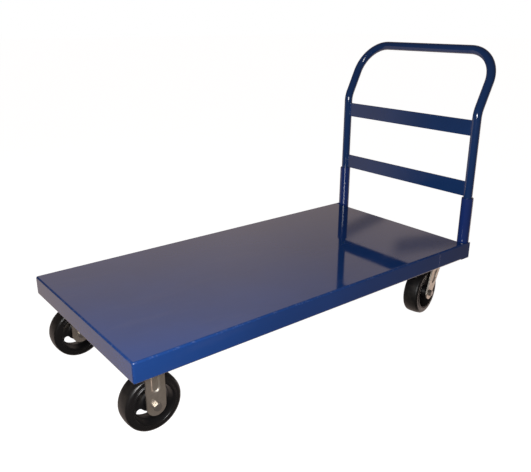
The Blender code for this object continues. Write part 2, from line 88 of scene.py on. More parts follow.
def axle_place(prefix):
    """From a wheel's own space, Z along the axle to the left and Y up, to its place on the cart."""
    point, axis = joint(f"{prefix}_wheel_spin")
    up = Vector((0, 0, 1))
    left = axis if axis.y < 0 else -axis
    turn = Matrix((up.cross(left), up, left)).transposed().to_4x4()
    return Matrix.Translation(point) @ turn


def fork_place(prefix):
    """From a fork's own space, X from its top's middle towards the axle, to its place on the cart."""
    axle, axis = joint(f"{prefix}_wheel_spin")
    if prefix.startswith("rear"):
        pivot, _ = joint(f"{prefix}_swivel")
    else:
        pivot = axle
    sideways = axis if prefix.startswith("front") else -axis
    forward = sideways.cross(Vector((0, 0, 1)))
    turn = Matrix((forward, sideways, Vector((0, 0, 1)))).transposed().to_4x4()
    return Matrix.Translation((pivot.x, pivot.y, 0)) @ turn


def deck_corners():
    """The deck sheet's own box, without the ears that run past the handle end."""
    low, high = corners("deck_pan")
    socket_low, _ = corners("left_handle_socket")
    return low, Vector((socket_low.x - GAP, high.y, high.z))


# ---------------------------------------------------------------------------- settings
def swatch(name, description, default):
    return FloatVectorProperty(name=name, description=description, subtype="COLOR", size=3, default=default)


def metres(name, description, default):
    return FloatProperty(name=name, description=description, unit="LENGTH", default=default)


def whole(name, description, default):
    return IntProperty(name=name, description=description, default=default)


def fraction(name, description, default):
    return FloatProperty(name=name, description=description, subtype="FACTOR", default=default)


def degrees(name, description, default):
    return FloatProperty(name=name, description=description, subtype="ANGLE",
                         default=math.radians(default))


def watts(name, description, default):
    return FloatProperty(name=name, description=description, unit="POWER", default=default)


class PaintSettings(bpy.types.PropertyGroup):
    enamel_colour: swatch("Enamel", "The enamel on deck, welds and hidden steel", (0.0082, 0.0378, 0.158))
    enamel_roughness: fraction("Enamel Roughness", "Roughness of clean enamel", 0.045)
    # Painted light: the handle's blue is a copy of the one enamel, recoloured for how light falls on the
    # handle, not a paint of its own.
    handle_painted_light_colour: swatch("Handle", "The enamel on the handle", (0.0095, 0.0385, 0.138))
    # Painted light: the sockets' blue is a copy of the one enamel, recoloured for how light falls on the
    # sockets, not a paint of its own.
    socket_painted_light_colour: swatch("Sockets", "The enamel on the sockets", (0.0120, 0.0330, 0.165))
    zinc_colour: swatch("Zinc", "Plated fork legs and plates", (0.66, 0.61, 0.54))
    # Painted shade: the fasteners carry the forks' zinc plating; this darker colour stands in for shade and
    # dulls their highlights.
    bolt_painted_shade_colour: swatch("Bolt", "Plating of the fasteners, darker than the zinc", (0.42, 0.40, 0.38))
    iron_colour: swatch("Wheel Core", "Black paint on the cast cores", (0.0060, 0.0056, 0.0060))
    rubber_colour: swatch("Rubber", "Moulded rubber of the tyres", (0.0075, 0.0068, 0.0070))
    dust_colour: swatch("Dust", "Dry dust on treads, cores and enamel", (0.20, 0.17, 0.13))


class DeckSettings(bpy.types.PropertyGroup):
    sheet: metres("Sheet", "Thickness of the deck's sheet", 0.003)
    lip: metres("Lip", "Width of the lip under each flange", 0.012)
    top_bend: metres("Top Bend", "Outer radius where sheet turns down", 0.0052)
    corner_bend: metres("Corner", "Radius of the ground upright corners", 0.0060)
    bend_steps: whole("Bend Steps", "Faces across each bend", 5)
    ear_lap: metres("Ear Lap", "How far an ear reaches into its flange", 0.012)
    ear_drop: metres("Ear Drop", "How far an ear's top lies under the deck", 0.0015)


class HandleSettings(bpy.types.PropertyGroup):
    wall: metres("Tube Wall", "Wall of the handle's tube", 0.002)
    kink_radius: metres("Kink Radius", "Bend where the uprights lean back", 0.085)
    corner_radius: metres("Corner Radius", "Bend into the top grip", 0.105)
    kink_height: metres("Kink Height", "Height of the kink over the floor", 0.667)
    bend_steps: whole("Bend Steps", "Rings in each bend", 20)
    ring_steps: whole("Ring Steps", "Faces around the tube", 48)
    bar_edge: metres("Bar Edge", "Rounding of the flat bars' edges", 0.0012)
    socket_bore: metres("Socket Bore", "Inner radius of a socket", 0.01505)
    socket_floor: metres("Socket Floor", "Thickness of its closed bottom", 0.005)


class WeldSettings(bpy.types.PropertyGroup):
    bead_radius: metres("Bead", "Radius of a weld bead", 0.0026)
    ripple_pitch: metres("Ripple Pitch", "Distance between two ripples", 0.0030)
    ripple_depth: fraction("Ripple Depth", "Ripple, as a share of the bead", 0.13)
    wander: fraction("Wander", "Unevenness, as a share of the bead", 0.30)


class CasterSettings(bpy.types.PropertyGroup):
    leg_sheet: metres("Leg Sheet", "Thickness of the fork's legs", 0.005)
    half_width: metres("Half Width", "From the middle to a leg's outer face", 0.036)
    fork_bend: metres("Fork Bend", "Bend radius between crown and leg", 0.009)
    rib_half_width: metres("Rib Half Width", "Half the pressed rib's width", 0.0115)
    rib_depth: metres("Rib Depth", "How far the rib is pressed in", 0.0026)
    plate: metres("Plate", "Thickness of the top plate", 0.004)
    plate_corner: metres("Plate Corner", "Radius of the plate's corners", 0.007)
    crown_top: metres("Crown Top", "Top of a swivel fork over the floor", 0.165)
    axle_radius: metres("Axle Radius", "Radius of the axle bolt", 0.00635)
    ball_count: whole("Balls", "Balls in a swivel race", 22)
    window_count: whole("Windows", "Kidney windows in a wheel", 3)
    window_inner: metres("Window Inner", "Inner radius of the windows", 0.0295)
    window_outer: metres("Window Outer", "Outer radius of the windows", 0.0472)
    window_span: degrees("Window Span", "Angle that a window covers", 80)


class StageSettings(bpy.types.PropertyGroup):
    camera_place: FloatVectorProperty(name="Camera", description="Place of the camera",
                                      subtype="TRANSLATION", default=(-1.1641, -1.3901, 0.9463))
    camera_azimuth: degrees("Azimuth", "Turn of the view from +Y", -38.455)
    camera_elevation: degrees("Elevation", "How far the camera looks down", 19.576)
    camera_roll: degrees("Roll", "Tilt of the camera", 0.129)
    camera_lens: FloatProperty(name="Lens", description="Focal length in millimetres", default=41.51)
    key_power: watts("Key", "Power of the soft key light", 20.0)
    flash_power: watts("Flash", "Power of the small light at the camera", 3.0)
    strip_power: watts("Strip", "Power of the upright strip light at the left", 2.0)
    back_power: watts("Back", "Power of the soft fill behind the cart", 5.0)
    wall_level: FloatProperty(name="Wall", description="Brightness of the room's lit wall and floor",
                              default=0.76)
    dim_level: FloatProperty(name="Dim Level", description="Brightness of the room's dim parts",
                             default=0.10)


# ---------------------------------------------------------------------------- mesh helpers
def to_mesh(name, shape):
    mesh = bpy.data.meshes.new(name)
    shape.to_mesh(mesh)
    shape.free()
    return mesh


def workpiece(name, data):
    """A temporary object, to carry modifiers until its mesh is read back."""
    piece = bpy.data.objects.new(name, data)
    bpy.context.scene.collection.objects.link(piece)
    return piece


def read_back(piece, outward=False):
    """The piece's evaluated shape as one plain, welded mesh. The piece is removed."""
    bpy.context.view_layer.update()
    depsgraph = bpy.context.evaluated_depsgraph_get()
    mesh = bpy.data.meshes.new_from_object(piece.evaluated_get(depsgraph))
    shape = bmesh.new()
    shape.from_mesh(mesh)
    bmesh.ops.remove_doubles(shape, verts=shape.verts, dist=MERGE)
    if outward:
        bmesh.ops.recalc_face_normals(shape, faces=shape.faces)
    shape.to_mesh(mesh)
    shape.free()
    bpy.data.objects.remove(piece, do_unlink=True)
    return mesh


def modified(mesh, *modifiers):
    """A mesh after a list of (type, settings) modifiers."""
    piece = workpiece(mesh.name, mesh)
    for kind, settings in modifiers:
        modifier = piece.modifiers.new(kind.lower(), kind)
        for setting, value in settings.items():
            setattr(modifier, setting, value)
    return read_back(piece)


def raised(height):
    return Matrix.Translation((0, 0, height))


def bevel(width, segments=3, angle=40.0):
    return ("BEVEL", {"width": width, "segments": segments, "limit_method": "ANGLE",
                      "angle_limit": math.radians(angle), "use_clamp_overlap": True})


def solidify(thickness, offset=-1.0):
    return ("SOLIDIFY", {"thickness": thickness, "offset": offset, "use_even_offset": True})


def combined(target, operation, others):
    """Join to, cut from or intersect with a mesh, by exact booleans."""
    piece = workpiece(target.name, target)
    helpers = []
    for index, other in enumerate(others):
        helper = workpiece(f"tool_{index}", other)
        helpers.append(helper)
        modifier = piece.modifiers.new(f"tool_{index}", "BOOLEAN")
        modifier.operation = operation
        modifier.solver = "EXACT"
        modifier.object = helper
    mesh = read_back(piece)
    for helper in helpers:
        bpy.data.objects.remove(helper, do_unlink=True)
    return mesh


def gathered(name, meshes):
    """Several closed shapes in one mesh, unjoined."""
    shape = bmesh.new()
    for mesh in meshes:
        shape.from_mesh(mesh)
    return to_mesh(name, shape)


def moved(mesh, matrix):
    copy = mesh.copy()
    copy.transform(matrix)
    return copy


def box(size, centre=(0, 0, 0)):
    shape = bmesh.new()
    bmesh.ops.create_cube(shape, size=1.0, matrix=Matrix.Translation(centre) @ Matrix.Diagonal((*size, 1)))
    return to_mesh("box", shape)


def lathe(profile, steps, closed=True):
    """Turn a profile of (radius, height) about Z. A closed profile makes a ring."""
    shape = bmesh.new()
    points = [shape.verts.new((radius, 0, height)) for radius, height in profile]
    edges = [shape.edges.new(pair) for pair in zip(points, points[1:])]
    if closed:
        edges.append(shape.edges.new((points[-1], points[0])))
    bmesh.ops.spin(shape, geom=points + edges, cent=(0, 0, 0), axis=(0, 0, 1),
                   angle=2 * math.pi, steps=steps, use_merge=True)
    bmesh.ops.remove_doubles(shape, verts=shape.verts, dist=MERGE)
    bmesh.ops.dissolve_degenerate(shape, edges=shape.edges, dist=MERGE)
    bmesh.ops.recalc_face_normals(shape, faces=shape.faces)
    return to_mesh("turned", shape)


def arc(centre, radius, start, end, steps):
    points = []
    for i in range(steps + 1):
        angle = math.radians(start + (end - start) * i / steps)
        points.append((centre[0] + radius * math.cos(angle), centre[1] + radius * math.sin(angle)))
    return points


def sheet_grid(columns, rows, position):
    """An open surface through position(u, v), u and v from 0 to 1."""
    shape = bmesh.new()
    grid = []
    for j in range(rows + 1):
        grid.append([shape.verts.new(position(i / columns, j / rows)) for i in range(columns + 1)])
    for j in range(rows):
        for i in range(columns):
            shape.faces.new((grid[j][i], grid[j][i + 1], grid[j + 1][i + 1], grid[j + 1][i]))
    bmesh.ops.remove_doubles(shape, verts=shape.verts, dist=MERGE)
    bmesh.ops.recalc_face_normals(shape, faces=shape.faces)
    return to_mesh("sheet", shape)


def flat_plate(outlines, thickness, edge):
    """A plate in the XY plane from an outline and its holes, its edges rounded, centred on Z."""
    curve = bpy.data.curves.new("plate", "CURVE")
    curve.dimensions = "2D"
    curve.fill_mode = "BOTH"
    curve.extrude = thickness / 2 - edge
    curve.bevel_depth = edge
    curve.bevel_resolution = 1
    curve.offset = -edge
    for outline in outlines:
        spline = curve.splines.new("POLY")
        spline.points.add(len(outline) - 1)
        for point, (x, y) in zip(spline.points, outline):
            point.co = (x, y, 0, 1)
        spline.use_cyclic_u = True
    return read_back(workpiece("plate", curve), outward=True)


def prism(outline, half):
    """A closed block with one outline all the way up, from -half to half on Z."""
    shape = bmesh.new()
    base = shape.faces.new([shape.verts.new((x, y, -half)) for x, y in outline])
    grown = bmesh.ops.extrude_face_region(shape, geom=[base])["geom"]
    raised = [vert for vert in grown if isinstance(vert, bmesh.types.BMVert)]
    bmesh.ops.translate(shape, verts=raised, vec=(0, 0, 2 * half))
    bmesh.ops.recalc_face_normals(shape, faces=shape.faces)
    return to_mesh("prism", shape)


def rounded_rectangle(length, width, radius):
    outline = []
    for index, (sx, sy) in enumerate(((1, 1), (-1, 1), (-1, -1), (1, -1))):
        centre = (sx * (length / 2 - radius), sy * (width / 2 - radius))
        outline += arc(centre, radius, 90 * index, 90 * (index + 1), 6)
    return outline


def hexagon_head(radius, bottom, top, chamfer):
    """A hexagon with turned-down corners at its top."""
    shape = bmesh.new()
    bmesh.ops.create_cone(shape, cap_ends=True, segments=6, radius1=radius, radius2=radius,
                          depth=top - bottom, matrix=raised((bottom + top) / 2))
    flats = radius * math.cos(math.pi / 6)
    profile = [(0, bottom - radius), (radius * 1.1, bottom - radius), (radius * 1.1, top - chamfer * 1.2),
               (flats * 0.96, top), (0, top)]
    return combined(to_mesh("hexagon", shape), "INTERSECT", [lathe(profile, 48, closed=False)])


def threaded_rod(radius, bottom, top, pitch):
    """A rod with ring grooves at the thread's pitch and a chamfered end."""
    profile = [(0, top), (radius - pitch * 0.6, top)]
    height = top - pitch * 0.5
    while height > bottom + pitch:
        profile += [(radius, height), (radius - pitch * 0.35, height - pitch / 2)]
        height -= pitch
    profile += [(radius, height), (radius, bottom), (0, bottom)]
    return lathe(profile, 24, closed=False)


def finished(name, mesh, body, nodes, look, slot, place=None, sharp=38.0):
    """Give a mesh its place, look and body. Its own coordinates stay on it as an attribute."""
    own = mesh.attributes.new("own", "FLOAT_VECTOR", "POINT")
    flat = [0.0] * (3 * len(mesh.vertices))
    mesh.vertices.foreach_get("co", flat)
    own.data.foreach_set("vector", flat)
    if place:
        mesh.transform(place)
    mesh.shade_smooth()
    mesh.set_sharp_from_angle(angle=math.radians(sharp))
    mesh.materials.clear()
    mesh.materials.append(look)
    piece = workpiece(name, mesh)
    level = piece.modifiers.new("flat faces stay flat", "WEIGHTED_NORMAL")
    level.keep_sharp = True
    bpy.context.view_layer.update()
    depsgraph = bpy.context.evaluated_depsgraph_get()
    piece.data = bpy.data.meshes.new_from_object(piece.evaluated_get(depsgraph))
    piece.modifiers.clear()
    piece.data.name = name
    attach(piece, body)
    if nodes:
        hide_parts(*nodes)
    return piece


# ---------------------------------------------------------------------------- node trees
class Value:
    """A socket in a node tree, so that maths between sockets reads as an expression."""

    def __init__(self, tree, socket):
        self.tree = tree
        self.socket = socket

    def math(self, operation, *others, reflected=False):
        values = [*others, self] if reflected else [self, *others]
        return self.tree.node("ShaderNodeMath", {"operation": operation}, values)

    def __add__(self, other):
        return self.math("ADD", other)

    __radd__ = __add__

    def __sub__(self, other):
        return self.math("SUBTRACT", other)

    def __rsub__(self, other):
        return self.math("SUBTRACT", other, reflected=True)

    def __mul__(self, other):
        return self.math("MULTIPLY", other)

    __rmul__ = __mul__

    def __truediv__(self, other):
        return self.math("DIVIDE", other)

    def __pow__(self, other):
        return self.math("POWER", other)

    def __abs__(self):
        return self.math("ABSOLUTE")

    def smallest(self, other):
        return self.math("MINIMUM", other)

    def largest(self, other):
        return self.math("MAXIMUM", other)

    def between(self, low, high):
        """A smooth step from nothing to one as the value goes from low to high."""
        return self.tree.node("ShaderNodeMapRange", {"interpolation_type": "SMOOTHSTEP"},
                              {"Value": self, "From Min": low, "From Max": high})


class Tree:
    """A node tree under construction."""

    def node(self, kind, settings=None, inputs=None, output=0):
        node = self.tree.nodes.new(kind)
        for setting, value in (settings or {}).items():
            setattr(node, setting, value)
        pairs = inputs.items() if isinstance(inputs, dict) else enumerate(inputs or [])
        for label, value in pairs:
            if isinstance(value, Value):
                self.tree.links.new(value.socket, node.inputs[label])
            else:
                node.inputs[label].default_value = value
        return Value(self, node.outputs[output]) if node.outputs else None


class Assembly(Tree):
    """A geometry node tree with named inputs, built one node at a time."""

    def __init__(self, name, inputs):
        self.tree = bpy.data.node_groups.new(name, "GeometryNodeTree")
        self.tree.interface.new_socket("Geometry", in_out="INPUT", socket_type="NodeSocketGeometry")
        self.identifiers = {}
        for label, kind in inputs.items():
            socket = self.tree.interface.new_socket(label, in_out="INPUT", socket_type=kind)
            self.identifiers[label] = socket.identifier
        self.tree.interface.new_socket("Geometry", in_out="OUTPUT", socket_type="NodeSocketGeometry")
        self.start = self.tree.nodes.new("NodeGroupInput")

    def given(self, label="Geometry"):
        return Value(self, self.start.outputs[label])

    def close(self, geometry):
        """End the tree in Realize Instances and Set Material."""
        real = self.node("GeometryNodeRealizeInstances", inputs={"Geometry": geometry})
        painted = self.node("GeometryNodeSetMaterial",
                            inputs={"Geometry": real, "Material": self.given("Material")})
        self.node("NodeGroupOutput", inputs={"Geometry": painted})

    def grown(self, mesh, values, outward=True):
        """The mesh that the tree makes from a mesh, with its named inputs set."""
        piece = workpiece("grown", mesh)
        modifier = piece.modifiers.new("nodes", "NODES")
        modifier.node_group = self.tree
        for label, value in values.items():
            modifier[self.identifiers[label]] = value
        return read_back(piece, outward)


def polyline(points, bends=None):
    """A chain of edges, with each point's bend radius as an attribute."""
    mesh = bpy.data.meshes.new("line")
    mesh.from_pydata([tuple(point) for point in points], [(i, i + 1) for i in range(len(points) - 1)], [])
    radii = mesh.attributes.new("bend", "FLOAT", "POINT")
    radii.data.foreach_set("value", bends or [0.0] * len(points))
    return mesh


def bent_tube_tree():
    """A tube along a chain of points, each corner rounded to its own bend radius."""
    tree = Assembly("bent_tube", {"Tube Radius": "NodeSocketFloat", "Bend Steps": "NodeSocketInt",
                                  "Ring Steps": "NodeSocketInt", "Material": "NodeSocketMaterial"})
    line = tree.node("GeometryNodeMeshToCurve", inputs={"Mesh": tree.given()})
    bend = tree.node("GeometryNodeInputNamedAttribute", {"data_type": "FLOAT"}, {"Name": "bend"})
    path = tree.node("GeometryNodeFilletCurve", {"mode": "POLY"},
                     {"Curve": line, "Count": tree.given("Bend Steps"), "Radius": bend})
    ring = tree.node("GeometryNodeCurvePrimitiveCircle",
                     inputs={"Resolution": tree.given("Ring Steps"), "Radius": tree.given("Tube Radius")})
    tube = tree.node("GeometryNodeCurveToMesh", inputs={"Curve": path, "Profile Curve": ring})
    tree.close(tube)
    return tree


def weld_tree():
    """A rippled, slightly wandering bead along each chain of edges, with closed ends."""
    tree = Assembly("weld_bead", {"Bead Radius": "NodeSocketFloat", "Ripple Pitch": "NodeSocketFloat",
                                  "Ripple Depth": "NodeSocketFloat", "Wander": "NodeSocketFloat",
                                  "Material": "NodeSocketMaterial"})
    line = tree.node("GeometryNodeMeshToCurve", inputs={"Mesh": tree.given()})
    pitch = tree.given("Ripple Pitch")
    path = tree.node("GeometryNodeResampleCurve", {"mode": "LENGTH"},
                     {"Curve": line, "Length": pitch / 5.0})
    along = tree.node("GeometryNodeSplineParameter", output=1)
    ripple = abs((along / pitch * math.pi).math("SINE")) * tree.given("Ripple Depth")
    noise = tree.node("ShaderNodeTexNoise", inputs={"Scale": 160.0, "Detail": 1.0})
    swell = ripple + (noise - 0.5) * tree.given("Wander") + 1.0
    sized = tree.node("GeometryNodeSetCurveRadius", inputs={"Curve": path, "Radius": swell})
    ring = tree.node("GeometryNodeCurvePrimitiveCircle",
                     inputs={"Resolution": 10, "Radius": tree.given("Bead Radius")})
    bead = tree.node("GeometryNodeCurveToMesh",
                     inputs={"Curve": sized, "Profile Curve": ring, "Fill Caps": True, "Scale": swell})
    tree.close(bead)
    return tree


def scatter_tree(name):
    """One part on every point, each turned about its upright axis by a seeded random angle."""
    tree = Assembly(name, {"Part": "NodeSocketObject", "Seed": "NodeSocketInt",
                           "Material": "NodeSocketMaterial"})
    part = tree.node("GeometryNodeObjectInfo", {"transform_space": "ORIGINAL"},
                     {"Object": tree.given("Part")}, output="Geometry")
    angle = tree.node("FunctionNodeRandomValue", {"data_type": "FLOAT"},
                      {"Min": 0.0, "Max": math.tau, "Seed": tree.given("Seed")}, output=1)
    turn = tree.node("ShaderNodeCombineXYZ", inputs={"Z": angle})
    rotation = tree.node("FunctionNodeEulerToRotation", inputs={"Euler": turn})
    copies = tree.node("GeometryNodeInstanceOnPoints",
                       inputs={"Points": tree.given(), "Instance": part, "Rotation": rotation})
    tree.close(copies)
    return tree


def scattered(name, part, places, seed, finish):
    """Copies of a part's mesh at places, made by the scatter tree."""
    template = workpiece(name, part)
    spots = bpy.data.meshes.new("spots")
    spots.from_pydata(places, [], [])
    copies = scatter_tree(name).grown(spots, {"Part": template, "Seed": seed, "Material": look(finish)})
    bpy.data.objects.remove(template, do_unlink=True)
    return copies


# ---------------------------------------------------------------------------- shader helpers
class Recipe(Tree):
    """A node tree under construction: a material or the studio's surroundings."""

    def __init__(self, owner):
        owner.use_nodes = True
        self.tree = owner.node_tree
        self.tree.nodes.clear()

    def place(self):
        return self.node("ShaderNodeTexCoord", output="Object")

    def own_place(self):
        return self.node("ShaderNodeAttribute", {"attribute_name": "own"}, output="Vector")

    def stretched(self, vector, scale):
        return self.node("ShaderNodeMapping", inputs={"Vector": vector, "Scale": scale})

    def xyz(self, vector):
        node = self.node("ShaderNodeSeparateXYZ", inputs=[vector]).socket.node
        return [Value(self, output) for output in node.outputs]

    def noise(self, vector, scale, detail=3.0, roughness=0.5):
        return self.node("ShaderNodeTexNoise", inputs={"Vector": vector, "Scale": scale, "Detail": detail,
                                                       "Roughness": roughness})

    def mix(self, factor, first, second):
        """Blend two colours."""
        return self.node("ShaderNodeMix", {"data_type": "RGBA", "clamp_factor": True},
                         {0: factor, 6: first, 7: second}, output=2)

    def bump(self, height, distance, strength=1.0, normal=None):
        inputs = {"Height": height, "Distance": distance, "Strength": strength}
        if normal:
            inputs["Normal"] = normal
        return self.node("ShaderNodeBump", inputs=inputs)

    def surface(self, inputs):
        shader = self.node("ShaderNodeBsdfPrincipled", inputs=inputs)
        self.node("ShaderNodeOutputMaterial", inputs={"Surface": shader})


def rgb(colour):
    return (*colour, 1.0)


def enamel_layers(recipe, paint, place, dust, main=None):
    """Colour, roughness and relief that every blue surface shares."""
    main = main or paint.enamel_colour
    shade = [part * 0.86 for part in main]
    cloud = recipe.noise(place, 5.0, 4.0, 0.55).between(0.35, 0.70)
    runs = recipe.noise(recipe.stretched(place, (1.0, 1.0, 0.25)), 60.0, 3.0)
    smears = recipe.noise(recipe.stretched(place, (2.0, 9.0, 9.0)), 1.6, 5.0, 0.6).between(0.52, 0.75)
    colour = recipe.mix(cloud * 0.75, rgb(main), rgb(shade))
    colour = recipe.mix(smears * dust, colour, rgb(paint.dust_colour))
    roughness = paint.enamel_roughness + runs * 0.02 + smears * 0.04
    peel = recipe.noise(place, 420.0, 2.0)
    relief = recipe.bump(peel, 0.00001, 0.4)
    sag = recipe.noise(place, 7.0, 1.0)
    relief = recipe.bump(sag, 0.00012, 0.5, relief)
    return colour, roughness, relief


def gloss_enamel(recipe, paint, main=None):
    """Gloss enamel on tube, bar and hidden steel, a little softer than on the flat deck."""
    colour, roughness, relief = enamel_layers(recipe, paint, recipe.place(), 0.02, main)
    recipe.surface({"Base Color": colour, "Roughness": roughness + 0.04, "Normal": relief,
                    "IOR": 1.5})


# Painted light: gloss enamel in the handle's recoloured copy of the blue, standing in for how light falls on
# the handle.
def handle_enamel(recipe, paint):
    gloss_enamel(recipe, paint, paint.handle_painted_light_colour)


# Painted light: gloss enamel in the sockets' recoloured copy of the blue, standing in for how light falls on
# the sockets.
def socket_enamel(recipe, paint):
    gloss_enamel(recipe, paint, paint.socket_painted_light_colour)


def deck_enamel(recipe, paint):
    """Gloss enamel with the fine rubs and scratches of a loading surface, and rubbed edges."""
    place = recipe.place()
    colour, roughness, relief = enamel_layers(recipe, paint, place, 0.035)
    low, high = deck_corners()
    x, y, z = recipe.xyz(place)
    along = (x - low.x).smallest(high.x - x)
    across = (high.y - abs(y)).largest(0.0)
    under = (high.z - z).largest(0.0)
    edge_top = (across.smallest(along) ** 2.0 + under ** 2.0) ** 0.5
    grain = recipe.noise(place, 90.0, 4.0, 0.65)
    rubbed = edge_top.between(0.0055, 0.0015) * grain.between(0.50, 0.66)
    scratch_a = recipe.noise(recipe.stretched(place, (3.0, 320.0, 3.0)), 1.0, 2.0).between(0.735, 0.765)
    slant = recipe.node("ShaderNodeMapping", inputs={"Vector": place, "Rotation": (0, 0, 0.9),
                                                     "Scale": (2.5, 300.0, 2.5)})
    scratch_b = recipe.noise(slant, 1.0, 2.0).between(0.745, 0.77)
    patches = recipe.noise(place, 3.2, 2.0).between(0.45, 0.62)
    scratches = (scratch_a + scratch_b).smallest(1.0) * patches
    colour = recipe.mix(rubbed * 0.35 + scratches * 0.10, colour, (0.10, 0.13, 0.24, 1.0))
    recipe.surface({"Base Color": colour, "Roughness": roughness + scratches * 0.16 + rubbed * 0.2,
                    "Normal": relief, "IOR": 1.5})


def weld_enamel(recipe, paint):
    """The same enamel over a weld: spatter and a grainy skin."""
    place = recipe.place()
    colour, roughness, relief = enamel_layers(recipe, paint, place, 0.05)
    grit = recipe.noise(place, 900.0, 3.0)
    relief = recipe.bump(grit, 0.00018, 0.7, relief)
    recipe.surface({"Base Color": colour, "Roughness": roughness + 0.05, "Normal": relief,
                    "IOR": 1.5})


def plated(recipe, colour, tint, roughness, streak):
    """Zinc plating: spangled colour, rolled streaks along the part and a hazy skin."""
    place = recipe.own_place()
    spangle = recipe.noise(place, 90.0, 4.0, 0.6)
    clouds = recipe.noise(place, 24.0, 3.0).between(0.3, 0.7)
    rolled = recipe.noise(recipe.stretched(place, (420.0, 420.0, 14.0)), 1.0, 2.0)
    warm = recipe.mix(clouds * 0.7, rgb(colour), rgb(tint))
    dull = tuple(part * 0.62 for part in colour)
    shade = recipe.mix(spangle.between(0.35, 0.75) * 0.45, warm, rgb(dull))
    rough = roughness + spangle * 0.12 + rolled * 0.10
    relief = recipe.bump(rolled, 0.00006, streak)
    relief = recipe.bump(spangle, 0.00010, 0.35, relief)
    recipe.surface({"Base Color": shade, "Roughness": rough, "Metallic": 1.0, "Normal": relief})


def zinc_plate(recipe, paint):
    plated(recipe, paint.zinc_colour, (0.56, 0.49, 0.40), 0.34, 0.6)


# Painted shade: the forks' zinc plating, made darker in colour and tint to stand in for shade on the
# fasteners.
def bolt_plate(recipe, paint):
    plated(recipe, paint.bolt_painted_shade_colour, (0.38, 0.34, 0.29), 0.34, 0.25)


def bearing_steel(recipe, paint):
    """Steel under a patchy film of dark grease."""
    place = recipe.own_place()
    film = recipe.noise(place, 70.0, 3.0).between(0.4, 0.7)
    # The steel under the grease starts from the fasteners' darkened plating colour, which is painted shade.
    colour = recipe.mix(film * 0.8, rgb(paint.bolt_painted_shade_colour), (0.10, 0.075, 0.045, 1.0))
    recipe.surface({"Base Color": colour, "Roughness": 0.16 + film * 0.2, "Metallic": 1.0 - film * 0.35,
                    "Normal": recipe.bump(film, 0.0001, 0.3)})


def black_casting(recipe, paint):
    """Cast iron under black paint: a grainy, lumpy skin with dust in its recesses."""
    place = recipe.own_place()
    grain = recipe.noise(place, 650.0, 3.0)
    lumps = recipe.noise(place, 120.0, 3.0)
    x, y, z = recipe.xyz(place)
    radius = (x * x + y * y) ** 0.5
    recess = radius.between(0.022, 0.030) * radius.between(0.049, 0.044)
    dust = recipe.noise(place, 45.0, 4.0).between(0.45, 0.75) * recess
    colour = recipe.mix(dust * 0.16, rgb(paint.iron_colour), rgb(paint.dust_colour))
    relief = recipe.bump(grain, 0.00010, 0.45)
    relief = recipe.bump(lumps, 0.00035, 0.45, relief)
    recipe.surface({"Base Color": colour, "Roughness": 0.32 + lumps * 0.16 + dust * 0.3, "Normal": relief,
                    "Specular IOR Level": 0.35})


def moulded_rubber(recipe, paint):
    """Black rubber: fine mould rings on the flank, a scuffed and dusty tread."""
    place = recipe.own_place()
    x, y, z = recipe.xyz(place)
    radius = (x * x + y * y) ** 0.5
    tread = radius.between(0.0705, 0.0755)
    rings = (radius * 4200.0).math("SINE")
    flank = radius.between(0.0735, 0.0700)
    mottle = recipe.noise(place, 60.0, 4.0, 0.6)
    scuffs = recipe.noise(recipe.stretched(place, (240.0, 240.0, 60.0)), 1.0, 3.0)
    dust = tread * mottle.between(0.35, 0.75) * 0.06 + mottle.between(0.60, 0.85) * 0.02
    colour = recipe.mix(dust, rgb(paint.rubber_colour), rgb(paint.dust_colour))
    roughness = 0.24 + tread * 0.14 + mottle * 0.08
    relief = recipe.bump(rings * flank, 0.00008, 0.5)
    relief = recipe.bump(scuffs, 0.00020, 0.4, relief)
    recipe.surface({"Base Color": colour, "Roughness": roughness, "Normal": relief,
                    "Specular IOR Level": 0.30})


LOOKS = {build.__name__: build for build in (
    gloss_enamel, handle_enamel, socket_enamel, deck_enamel, weld_enamel, zinc_plate, bolt_plate,
    bearing_steel, black_casting, moulded_rubber)}


def look(name):
    """The named material, built the first time that it is asked for."""
    made = bpy.data.materials.get(name)
    if made is None:
        made = bpy.data.materials.new(name)
        LOOKS[name](Recipe(made), bpy.context.scene.cart_paint)
    return made


